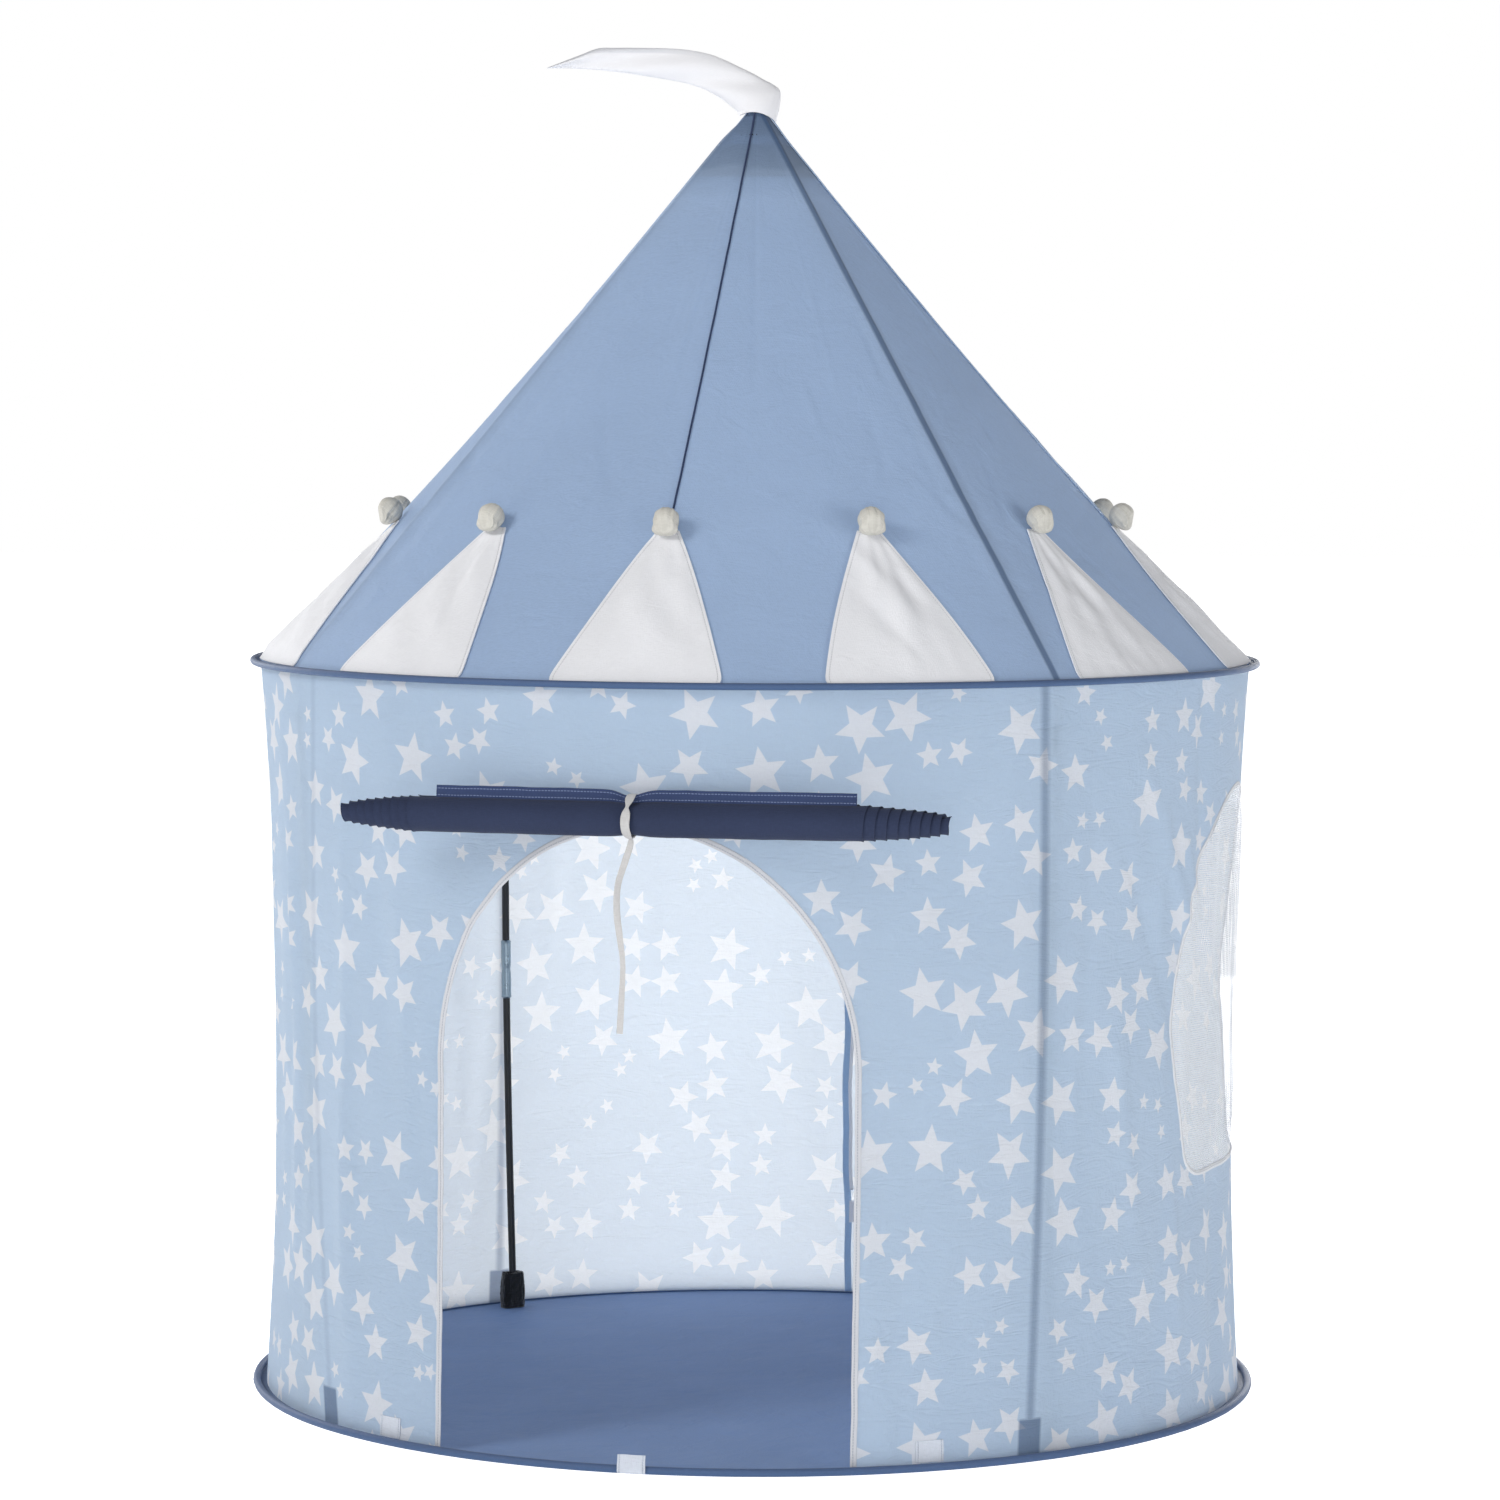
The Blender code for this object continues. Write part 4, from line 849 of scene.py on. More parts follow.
def drawn_fibreglass(name):
    """Black fibreglass rod, drawn and ground: satin, with fine streaks along it."""
    made, tree = new_tree(name)
    spot = add_node(tree, "ShaderNodeTexCoord").outputs["Object"]
    streaks = add_node(tree, "ShaderNodeMapping", Vector=spot, Scale=(900.0, 900.0, 14.0))
    grain = add_node(tree, "ShaderNodeTexNoise", Vector=streaks.outputs[0], Scale=1.0, Detail=2.0)
    rough = add_node(tree, "ShaderNodeMapRange", Value=grain.outputs["Fac"], From_Min=0.3,
                     From_Max=0.7, To_Min=0.30, To_Max=0.48)
    tone = add_node(tree, "ShaderNodeMapRange", Value=grain.outputs["Fac"], From_Min=0.3,
                    From_Max=0.7, To_Min=0.6, To_Max=1.4)
    colour = add_node(tree, "ShaderNodeVectorMath", {"operation": "SCALE"},
                      in_0=srgb("141519"), Scale=tone.outputs[0])
    bump = add_node(tree, "ShaderNodeBump", Strength=0.25, Distance=0.0002,
                    Height=grain.outputs["Fac"])
    surface = add_node(tree, "ShaderNodeBsdfPrincipled", Base_Color=colour.outputs[0],
                       Roughness=rough.outputs[0], Normal=bump.outputs[0])
    add_node(tree, "ShaderNodeOutputMaterial", Surface=surface.outputs[0])
    return made


def zinc_plate(name):
    """Zinc-plated steel tube: pale grey metal, softly brushed round, a little cloudy."""
    made, tree = new_tree(name)
    spot = add_node(tree, "ShaderNodeTexCoord").outputs["Object"]
    rings = add_node(tree, "ShaderNodeMapping", Vector=spot, Scale=(60.0, 60.0, 2600.0))
    brushed = add_node(tree, "ShaderNodeTexNoise", Vector=rings.outputs[0], Scale=1.0, Detail=2.0)
    clouds = add_node(tree, "ShaderNodeTexNoise", Vector=spot, Scale=220.0, Detail=2.0)
    mixed = add_node(tree, "ShaderNodeMath", {"operation": "ADD"}, in_0=brushed.outputs["Fac"],
                     in_1=clouds.outputs["Fac"])
    rough = add_node(tree, "ShaderNodeMapRange", Value=mixed.outputs[0], From_Min=0.7,
                     From_Max=1.3, To_Min=0.26, To_Max=0.42)
    bump = add_node(tree, "ShaderNodeBump", Strength=0.2, Distance=0.0002,
                    Height=brushed.outputs["Fac"])
    surface = add_node(tree, "ShaderNodeBsdfPrincipled", Base_Color=(*srgb("93A3AE"), 1.0),
                       Roughness=rough.outputs[0], Normal=bump.outputs[0])
    surface.inputs["Metallic"].default_value = 1.0
    add_node(tree, "ShaderNodeOutputMaterial", Surface=surface.outputs[0])
    return made


def moulded_nylon(name):
    """Black moulded nylon of the hub: satin, with a fine spark-eroded grain."""
    made, tree = new_tree(name)
    spot = add_node(tree, "ShaderNodeTexCoord").outputs["Object"]
    grain = add_node(tree, "ShaderNodeTexNoise", Vector=spot, Scale=1400.0, Detail=2.0)
    wear = add_node(tree, "ShaderNodeTexNoise", Vector=spot, Scale=60.0, Detail=3.0)
    rough = add_node(tree, "ShaderNodeMapRange", Value=wear.outputs["Fac"], From_Min=0.3,
                     From_Max=0.7, To_Min=0.42, To_Max=0.6)
    bump = add_node(tree, "ShaderNodeBump", Strength=0.3, Distance=0.0002,
                    Height=grain.outputs["Fac"])
    surface = add_node(tree, "ShaderNodeBsdfPrincipled", Base_Color=(*srgb("1B1C1F"), 1.0),
                       Roughness=rough.outputs[0], Normal=bump.outputs[0])
    add_node(tree, "ShaderNodeOutputMaterial", Surface=surface.outputs[0])
    return made


FINISHES = {make.__name__: make for make in (
    printed_cotton, dyed_cotton, door_cotton, door_hem, floor_polyester, hoop_cotton,
    bleached_cotton, streamer_cotton, ball_cotton, grey_bias_tape, white_bias_tape, twill_tape,
    blue_binding, navy_piping, hook_tape, black_fleece, seam_cotton, window_netting,
    drawn_fibreglass, zinc_plate, moulded_nylon)}


def material(finish):
    """The material of this name, made when a piece first asks for it."""
    return bpy.data.materials.get(finish) or FINISHES[finish](finish)


# Wall and openings

def within(outline, across, up):
    """Which places lie inside an outline."""
    inside = np.zeros(len(across), bool)
    for (x1, z1), (x2, z2) in zip(outline, outline[1:] + outline[:1]):
        if z1 != z2:
            side = (x2 - x1) * (up - z1) / (z2 - z1) + x1
            inside ^= ((z1 > up) != (z2 > up)) & (across < side)
    return inside


def cut_opening(bm, outline, facing, keep_inside=False):
    """Cuts flat cloth, whose corners hold an angle and a height, along an opening's outline."""
    centres = np.array([face.calc_center_median()[:2] for face in bm.faces])
    turn = np.radians(centres[:, 0] - facing)
    across = wall_radius(centres[:, 0], centres[:, 1]) * np.sin(turn)
    hit = within(list(outline), across, centres[:, 1]) & (np.cos(turn) > 0)
    unwanted = [face for face, gone in zip(bm.faces, hit != keep_inside) if gone]
    touched = {corner for face in unwanted for corner in face.verts}
    bmesh.ops.delete(bm, geom=unwanted, context="FACES")
    line = even_steps(outline, 0.0008, closed=keep_inside or facing != DOOR_ANGLE)
    nearest = kdtree.KDTree(len(line))
    for n, (x, z) in enumerate(line):
        nearest.insert((x, z, 0.0), n)
    nearest.balance()
    for corner in touched:
        if corner.is_valid:
            angle, height = corner.co.x, corner.co.y
            x = float(wall_radius(angle, height)) * math.sin(math.radians(angle - facing))
            spot, _, _ = nearest.find((x, height, 0.0))
            turn = math.asin(spot.x / float(wall_radius(angle, spot.y)))
            behind = round((angle - facing) / 360.0) * 360.0
            corner.co = (facing + behind + math.degrees(turn), spot.y, 0.0)


def columns_between(first, last, arc, step):
    """Even columns of angle from first to last, with one exactly over each pole between."""
    stops = [first]
    for turns in (-360.0, 0.0):
        stops += [ridge + turns for ridge in POLE_ANGLES.values() if first < ridge + turns < last]
    stops = sorted(stops) + [last]
    columns = [first]
    for a, b in zip(stops, stops[1:]):
        columns += list(np.linspace(a, b, int(round((b - a) * arc / step)) + 1)[1:])
    return columns


def flat_cloth(first, last, low, high, step):
    """A flat grid whose corners hold an angle and a height."""
    columns = columns_between(first, last, ARC, step)
    rows = np.linspace(low, high, int(round((high - low) / step)) + 1)
    return laid_grid(columns, rows, lambda angle, height: np.stack(
        (angle, height, 0 * angle), -1), lambda angle, height: (angle, height))


# How far aside the painted shadow of each pole lies, as light from behind would throw it, for each
# metre that the wall is off it
SHADOW_SLANT = {"back_right": 0.0, "back_left": 0.0, "front_left": 2.1, "front_right": -0.75}


def wrapped(angle):
    """An angle, or many, brought to between half a turn back and half a turn on."""
    return np.mod(angle + 180.0, 360.0) - 180.0


def shadow_angle(side, height):
    """The angle at which a pole's painted shadow lies on the wall, at each height."""
    route = np.array([tuple(point) for point in pole_route()[0]])
    ridge = POLE_ANGLES[side]
    gap = wall_radius(ridge, height) - np.interp(height, route[:, 1], route[:, 0])
    return ridge + np.degrees(SHADOW_SLANT[side] * gap / 0.51)


def hang(bm, surface):
    """Lays flat cloth on a surface, with its UV map in metres."""
    spots = np.array([corner.co[:2] for corner in bm.verts])
    set_uv(bm, "cloth", (spots[:, 0] * ARC, spots[:, 1]))
    # The poles map holds the distance to the painted shadows of the two nearest poles; the shade map
    # holds how strong they are, faint at the front left pole
    poles = [wrapped(spots[:, 0] - shadow_angle(side, spots[:, 1])) for side in POLE_ANGLES]
    nearest = sorted(poles, key=lambda apart: np.abs(apart).min())[:2]
    set_uv(bm, "poles", (nearest[0] * ARC, nearest[1] * ARC))
    faint = np.exp(-(wrapped(spots[:, 0] - POLE_ANGLES["front_left"]) / 25.0) ** 2)
    set_uv(bm, "shade", (1 - 0.75 * faint, 0 * faint))
    for corner, spot in zip(bm.verts, surface(spots[:, 0], spots[:, 1])):
        corner.co = spot
    bm.normal_update()


def build_wall():
    """The printed wall: two halves that meet over the doorway and in the back seam."""
    step = bpy.context.scene.play_tent.cloth_step
    halves = (("wall_right", -90.0, 90.0, 0.0,
               ("wall_front_right", "wall_header", "wall_window_right", "wall_back_right")),
              ("wall_left", -270.0, -90.0, -180.0,
               ("wall_front_left", "wall_window_left", "wall_back_left")))
    for name, first, last, window, nodes in halves:
        bm = flat_cloth(first, last, WALL_BASE, WALL_TOP, step)
        cut_opening(bm, door_outline(BINDING / 2), DOOR_ANGLE)
        cut_opening(bm, window_outline(WINDOW_BINDING / 2), window)
        hang(bm, wall_point)
        piece = add_piece(name, bm, "printed_cotton", nodes)


def on_wall(outline, facing, off=0.0):
    """Points of an outline on the hung wall, each with the direction out of the cloth there."""
    across, height = outline[:, 0], outline[:, 1]
    angle = facing + np.degrees(np.arcsin(across / wall_radius(facing, height)))
    return wall_point(angle, height, off), polar(1.0, angle, 0.0)


def build_openings():
    """The tapes round the doorway and the windows, and the windows' netting."""
    line = even_steps(door_outline(BINDING / 2), 0.004)
    bm = swept(stations_on(*on_wall(line, DOOR_ANGLE)), flat_section(BINDING, 0.0021))
    rumple(bm, 0.0005, 0.03, 3)
    tape = add_piece("door_tape", bm, "grey_bias_tape", ("door_binding",))
    for side, facing in (("right", 0.0), ("left", 180.0)):
        line = even_steps(window_outline(WINDOW_BINDING / 2), 0.004, closed=True)
        bm = swept(stations_on(*on_wall(line, facing)), flat_section(WINDOW_BINDING, 0.0020),
                   closed=True)
        rumple(bm, 0.0004, 0.03, 5)
        tape = add_piece("window_tape_" + side, bm, "white_bias_tape",
                         ("window_binding_" + side,))
        reach = 22.0
        bm = flat_cloth(facing - reach, facing + reach, WINDOW_BOTTOM - 0.01, WINDOW_TOP + 0.01,
                        0.006)
        cut_opening(bm, window_outline(WINDOW_BINDING / 2), facing, keep_inside=True)
        hang(bm, lambda angle, height, facing=facing: net_point(angle, height, facing))
        net = add_piece("window_net_" + side, bm, "window_netting",
                        ("window_mesh_" + side,))


def net_point(angle, height, facing):
    """A point of a window's net, which bags a little outwards with soft upright folds."""
    across = wall_radius(angle, height) * np.sin(np.radians(angle - facing)) / WINDOW_HALF_WIDTH
    up = (height - WINDOW_BOTTOM) / (WINDOW_TOP - WINDOW_BOTTOM)
    room = np.clip(1 - across ** 2, 0, 1) * np.clip(4 * up * (1 - up), 0, 1)
    folds = 0.0016 * np.sin(across * 13 + 3 * up) + 0.0010 * np.sin(across * 27 - 5 * up + 1)
    return wall_point(angle, height, (0.0015 + folds) * smooth_step(0.0, 0.35, room) - 0.0004)


def rumple(bm, amount, size, seed):
    """Moves every corner a little, by noise of a given size, so that cloth isn't ruled."""
    shift = Vector((seed * 3.7, seed * 1.3, seed * 7.1))
    for corner in bm.verts:
        corner.co += amount * noise.noise_vector(corner.co / size + shift)
    bm.normal_update()


# Hoops, ground sheet and back seam

def hoop_outline(flange_inner, radius, flange_off, tube):
    """A round sleeve with a flat sewing flange that points inwards: across is down."""
    thickness = 0.0011
    upper = math.asin((flange_off + thickness / 2) / tube)
    lower = math.asin((flange_off - thickness / 2) / tube)
    turns = np.linspace(math.pi - upper, -math.pi - lower, 19)
    sleeve = [(-tube * math.sin(turn), tube * math.cos(turn)) for turn in turns]
    inner = flange_inner - radius
    middle = (inner - tube) / 2
    return sleeve + [(-flange_off + thickness / 2, middle), (-flange_off + thickness / 2, inner),
                     (-flange_off - thickness / 2, inner), (-flange_off - thickness / 2, middle)]


def build_hoops():
    """The two sprung hoops in their sewn sleeves."""
    angles = np.linspace(0.0, 360.0, 541)
    for name, radius, height, inner, off, tube in (
            ("top_hoop_sleeve", TOP_HOOP_RADIUS, TOP_HOOP_HEIGHT, 0.512, 0.0, 0.0034),
            ("bottom_hoop_sleeve", HOOP_RADIUS, HOOP_TUBE, 0.509, -0.0022, HOOP_TUBE)):
        spots = polar(radius, angles, height)
        outwards = polar(1.0, angles, 0.0)
        stations = list(zip(spots, np.tile((0.0, 0.0, -1.0), (len(angles), 1)), outwards))
        bm = swept(stations, hoop_outline(inner, radius, off, tube), closed=True)
        for corner in bm.verts:
            spot = corner.co
            slack = min(max((radius + 0.001 - math.hypot(spot.x, spot.y)) / 0.010, 0.0), 1.0)
            wave = noise.noise_vector(spot / 0.022)
            tight = 0.00025 * noise.noise(spot / 0.006)
            outward = Vector((spot.x, spot.y, 0.0)).normalized()
            lift = 0.0003 if name == "top_hoop_sleeve" else 0.00012
            corner.co += outward * (0.0003 * wave.x + tight) + Vector((0, 0, lift * slack * wave.z))
        bm.normal_update()
        piece = add_piece(name, bm, "hoop_cotton",
                          (name.replace("_sleeve", ""),), sharp=50)


def build_floor():
    """The ground sheet, slightly rumpled, and the three hook tabs that hold the flap shut."""
    def place(angle, share):
        radius = FLOOR_RADIUS * share
        x, y = radius * np.cos(np.radians(angle)), radius * np.sin(np.radians(angle))
        lift = np.array([noise.noise(Vector((a / 0.11, b / 0.11, 4.0)))
                         + 0.5 * noise.noise(Vector((a / 0.04, b / 0.05, 9.0)))
                         for a, b in zip(x, y)])
        loose = np.clip(1 - share ** 6, 0.0, 1.0)
        return np.stack((x, y, 0.0008 + np.clip(0.0014 * lift * loose, -0.0005, None)), -1)

    def measure(angle, share):
        return (FLOOR_RADIUS * share * np.cos(np.radians(angle)),
                FLOOR_RADIUS * share * np.sin(np.radians(angle)))

    bm = laid_grid(np.linspace(0.0, 360.0, 181), np.linspace(0.0, 1.0, 61), place, measure)
    bmesh.ops.remove_doubles(bm, verts=bm.verts, dist=TINY)
    bmesh.ops.recalc_face_normals(bm, faces=bm.faces)
    if sum(face.normal.z for face in bm.faces) < 0:
        bmesh.ops.reverse_faces(bm, faces=bm.faces)
    floor = add_piece("ground_sheet", bm, "floor_polyester", ("floor_sheet",))
    for name, angle, low, high, width, off in HOOK_TABS:
        hook_tab(name, angle, low, high, width, off)


# Hook tabs: name, angle, how far down and up each reaches, its width and how it stands off
HOOK_TABS = (("hook_tab_sill", -89.7, 0.0, 0.0, 0.027, 0.0),
             ("hook_tab_left", -121.3, 0.006, 0.026, 0.029, 0.0012),
             ("hook_tab_right", -57.4, 0.007, 0.028, 0.029, 0.0012))


def hook_tab(name, angle, low, high, width, off):
    """A small tab of hook-and-loop tape, on the wall's hem or upright on the sill."""
    if low == high:
        route = [(0.5266, 0.0012), (0.5270, 0.0040), (0.5266, 0.0080), (0.5258, 0.0120),
                 (0.5250, 0.0160), (0.5244, 0.0190)]
    else:
        heights = np.linspace(low, high, 6)
        route = [(float(wall_radius(angle, z) + wall_lift(np.array([angle]), np.array([z]))[0]
                        + off), z) for z in heights]
    line = np.array(smooth_route([(r, 0.0, z) for r, z in route], 18))
    half = math.degrees(width / 2 / 0.515)

    def place(share, step):
        spots = line[np.clip(np.round(step * 18).astype(int), 0, 18)]
        return polar(spots[:, 0], angle + half * share, spots[:, 2])

    def measure(share, step):
        return share * width / 2, step * 0.022

    def edge(share, step):
        return step * 0.022 + share * 0.02, (1 - np.abs(share)) * width / 2

    bm = laid_grid(np.linspace(-1, 1, 15), np.linspace(0, 1, 19), place, measure, edge)
    rumple(bm, 0.0003, 0.008, 11)
    thicken(bm, 0.0011)
    tab = add_piece(name, bm, "hook_tape", sharp=40)


def build_back_seam():
    """The bound seam at the middle of the back, pressed to one side, with a blank label."""
    heights = np.linspace(WALL_BASE + 0.001, WALL_TOP - 0.002, 190)
    angles = np.full(len(heights), 90.0)
    sway = 0.0011 * np.sin(heights * 23) + 0.0007 * np.sin(heights * 61 + 2) - 0.0048
    inner = wall_radius(angles, heights) + wall_lift(angles, heights) - 0.0048
    spots = polar(inner, 90.0, heights) + np.stack((sway, 0 * sway, 0 * sway), -1)
    outwards = np.tile((0.45, -0.90, 0.0), (len(heights), 1))
    bm = swept(stations_on(spots, outwards), flat_section(0.0080, 0.0013))
    rumple(bm, 0.0003, 0.02, 17)
    fin = add_piece("back_seam_tape", bm, "blue_binding", ("back_seam_binding",))
    spots = spots[30:170] + np.array((0.0052, -0.0005, 0.0))
    bm = swept(stations_on(spots, outwards[30:170]), flat_section(0.0042, 0.0009))
    rumple(bm, 0.0006, 0.02, 18)
    strip = add_piece("back_seam_allowance", bm, "streamer_cotton")

    def place(share, step):
        bow = 0.0016 * np.sin(share * 2.4 + step)
        return np.stack((-0.0006 + 0.0165 * share, 0.4925 + bow, 0.086 + 0.025 * step), -1)

    bm = laid_grid(np.linspace(0, 1, 15), np.linspace(0, 1, 13), place,
                   lambda share, step: (share * 0.0165, step * 0.025),
                   lambda share, step: (share * 0.0165, (1 - np.abs(2 * step - 1)) * 0.0125))
    thicken(bm, 0.0004)
    label = add_piece("blank_label", bm, "streamer_cotton", sharp=40)


# Roof

def build_roof():
    """Four gores over the poles, their seams, and the lining under the top."""
    step = bpy.context.scene.play_tent.cloth_step
    for side, ridge in POLE_ANGLES.items():
        ridge = ridge if ridge < 180.0 else ridge - 360.0
        first = math.floor(ridge / 90.0) * 90.0
        columns = columns_between(first + 0.0001, first + 89.9999, ARC, step)
        rows = np.linspace(0.0, ROOF_LENGTH, int(ROOF_LENGTH / step) + 1)

        def measure(angle, slope, ridge=ridge):
            return (angle - ridge) * ARC * (1 - slope / ROOF_SLANT), slope

        bm = laid_grid(columns, rows, roof_point, measure)
        # How strong the painted shadow of each gore's pole is: faint at the front left
        shade = np.full(len(bm.verts), 0.12 if side == "front_left" else 1.0)
        set_uv(bm, "shade", (shade, 0 * shade))
        bm.normal_update()
        gore = add_piece("roof_cloth_" + side, bm, "dyed_cotton",
                         ("roof_gore_" + side,))
    slopes = np.linspace(0.0040, ROOF_LENGTH - 0.001, 240)
    for name, angle, section, off, finish, slot in (
            ("roof_piping_front", 270.0, round_section(0.0011, 10), 0.0008, "navy_piping",
             "seam_tape"),
            ("roof_seam_right", 0.0, flat_section(0.0062, 0.0011), 0.0008, "seam_cotton",
             "roof_cotton"),
            ("roof_seam_back", 90.0, flat_section(0.0062, 0.0011), 0.0008, "seam_cotton",
             "roof_cotton"),
            ("roof_seam_left", 180.0, flat_section(0.0062, 0.0011), 0.0008, "seam_cotton",
             "roof_cotton")):
        angles = np.full(len(slopes), angle)
        outwards = polar(SLOPE_UP, angles, SLOPE_IN)
        bm = swept(stations_on(roof_point(angles, slopes, off), outwards), section)
        rumple(bm, 0.0003, 0.03, int(angle) + 1)
        seam = add_piece(name, bm, finish)
    low = (1.257 - ROOF_BASE) / SLOPE_UP
    high = (1.292 - ROOF_BASE) / SLOPE_UP
    bm = laid_grid(np.linspace(0.0, 360.0, 145), np.linspace(low, high, 10),
                   lambda angle, slope: roof_point(angle, slope, -0.0009),
                   lambda angle, slope: (angle * ARC * 0.08, slope))
    bmesh.ops.remove_doubles(bm, verts=bm.verts, dist=TINY)
    lining = add_piece("roof_lining", bm, "door_cotton")


def build_pennants():
    """Twelve white pennants on the roof's edge, each with a stuffed ball at its tip."""
    half_base = math.radians(9.65) * ROOF_BASE_RADIUS
    for number in range(12):
        middle = DOOR_ANGLE + 30.0 * number
        draw = random.Random(300 + number)
        bow = [draw.uniform(0.4, 1.0) for _ in range(6)]
        phase = [draw.uniform(0.0, 6.28) for _ in range(6)]

        def widths(step, bow=bow, phase=phase):
            straight = half_base + (0.0112 - half_base) * step
            convex = 0.0036 * np.sin(np.pi * step) - 0.0030 * np.exp(-step / 0.020)
            uneven = 0.0016 * bow[0] * np.sin(3.1 * step + phase[0]) * np.sin(np.pi * step)
            return straight + convex + uneven

        def place(share, step, middle=middle, bow=bow, phase=phase):
            slope = 0.0008 + (0.1895 - 0.0008) * step
            height = ROOF_BASE + slope * SLOPE_UP
            turn = np.degrees(widths(step) * share / roof_radius(middle, height))
            loose = np.clip(1 - share ** 2, 0, 1) * np.sin(np.pi * np.clip(step, 0, 1))
            creases = (0.0014 * bow[1] * np.sin(5 * share + phase[1] + 3 * step)
                       + 0.0010 * bow[2] * np.sin(11 * share + phase[2] - 4 * step)
                       + 0.0009 * bow[3] * np.sin(14 * step + 6 * share + phase[3]))
            gathers = 0.0011 * np.sin(22 * share + phase[4]) * np.exp(-step / 0.12)
            rim = 0.0005 * smooth_step(0.0, 0.0040, (1 - np.abs(share)) * widths(step) + 0.0012)
            off = 0.0024 + (0.0062 * bow[5] + 1.7 * creases) * loose + gathers * loose ** 0.5 - rim
            return roof_point(middle + turn, slope, np.clip(off, 0.0016, None))

        def measure(share, step):
            return share * widths(step), step * 0.19

        def edge(share, step):
            return step * 0.19, (1 - np.abs(share)) * widths(step)

        bm = laid_grid(np.linspace(-1, 1, 41), np.linspace(0, 1, 49), place, measure, edge)
        thicken(bm, 0.0012)
        name = "pennant_cloth_%02d" % (number + 1)
        cloth = add_piece(name, bm, "bleached_cotton",
                          ("pennant_%02d" % (number + 1),), sharp=40)
        stuffed_ball("pennant_ball_%02d" % (number + 1), middle, draw)


def stuffed_ball(name, middle, draw):
    """A ball of gathered cotton, with its neck drawn down to the pennant's tip."""
    radius = 0.0135
    centre = Vector(roof_point(np.array([middle]), np.array([0.192]), 0.0149)[0])
    down = Vector(polar(SLOPE_IN, np.array([middle]), -SLOPE_UP)[0]).normalized()
    out = Vector(polar(SLOPE_UP, np.array([middle]), SLOPE_IN)[0]).normalized()
    across = down.cross(out)
    bm = bmesh.new()
    bmesh.ops.create_uvsphere(bm, u_segments=56, v_segments=28, radius=radius)
    bm.verts.index_update()
    marks = [(math.atan2(v.co.y, v.co.x) * radius, v.co.z) for v in bm.verts]
    set_uv(bm, "cloth", tuple(zip(*marks)))
    lean = draw.uniform(0.0, 6.28)
    for corner in bm.verts:
        spot = corner.co
        low = min(max((-spot.z / radius + 1) / 2, 0.0), 1.0)
        turn = math.atan2(spot.y, spot.x)
        pleats = math.sin(11 * turn + lean) + 0.5 * math.sin(19 * turn + 2 * lean)
        gather = 0.040 * pleats * (0.45 + low ** 2) + 0.03 * pleats * (1 - low) ** 3
        size = 0.97 + gather + 0.09 * noise.noise(spot / 0.012 + Vector((lean, 0, 0)))
        neck = smooth_unit((low - 0.70) / 0.30)
        side = spot.x * size * (1 + 0.75 * neck)
        lift = spot.y * size * (1 - 0.30 * neck)
        drop = -spot.z * (0.94 + 0.24 * neck)
        corner.co = centre + across * side + out * lift + down * (drop - 0.0005) - out * 0.003 * neck
    bmesh.ops.recalc_face_normals(bm, faces=bm.faces)
    ball = add_piece(name, bm, "ball_cotton")


def smooth_unit(t):
    """Goes from 0 to 1 without a corner, for one number."""
    t = min(max(t, 0.0), 1.0)
    return t * t * (3 - 2 * t)


# The streamer's upper and lower edge from its mouth to its tip, left and up, and half its depth
STREAMER_EDGES = (
    (0.0195, 1.3165, -0.0190, 1.3225, 0.0180), (0.0235, 1.3330, -0.0215, 1.3270, 0.0175),
    (0.0240, 1.3480, -0.0290, 1.3335, 0.0150), (0.0165, 1.3552, -0.0380, 1.3405, 0.0125),
    (0.0070, 1.3600, -0.0465, 1.3458, 0.0105), (-0.0055, 1.3668, -0.0570, 1.3508, 0.0085),
    (-0.0180, 1.3730, -0.0690, 1.3545, 0.0072), (-0.0340, 1.3805, -0.0810, 1.3572, 0.0066),
    (-0.0520, 1.3868, -0.0960, 1.3600, 0.0062), (-0.0740, 1.3905, -0.1130, 1.3628, 0.0058),
    (-0.0980, 1.3922, -0.1320, 1.3658, 0.0054), (-0.1240, 1.3926, -0.1520, 1.3682, 0.0050),
    (-0.1480, 1.3924, -0.1720, 1.3700, 0.0048), (-0.1660, 1.3918, -0.1900, 1.3707, 0.0044),
    (-0.1840, 1.3850, -0.2050, 1.3710, 0.0038), (-0.2020, 1.3780, -0.2140, 1.3712, 0.0030),
    (-0.2170, 1.3722, -0.2188, 1.3708, 0.0018))
STREAMER_ANGLE = 13.5


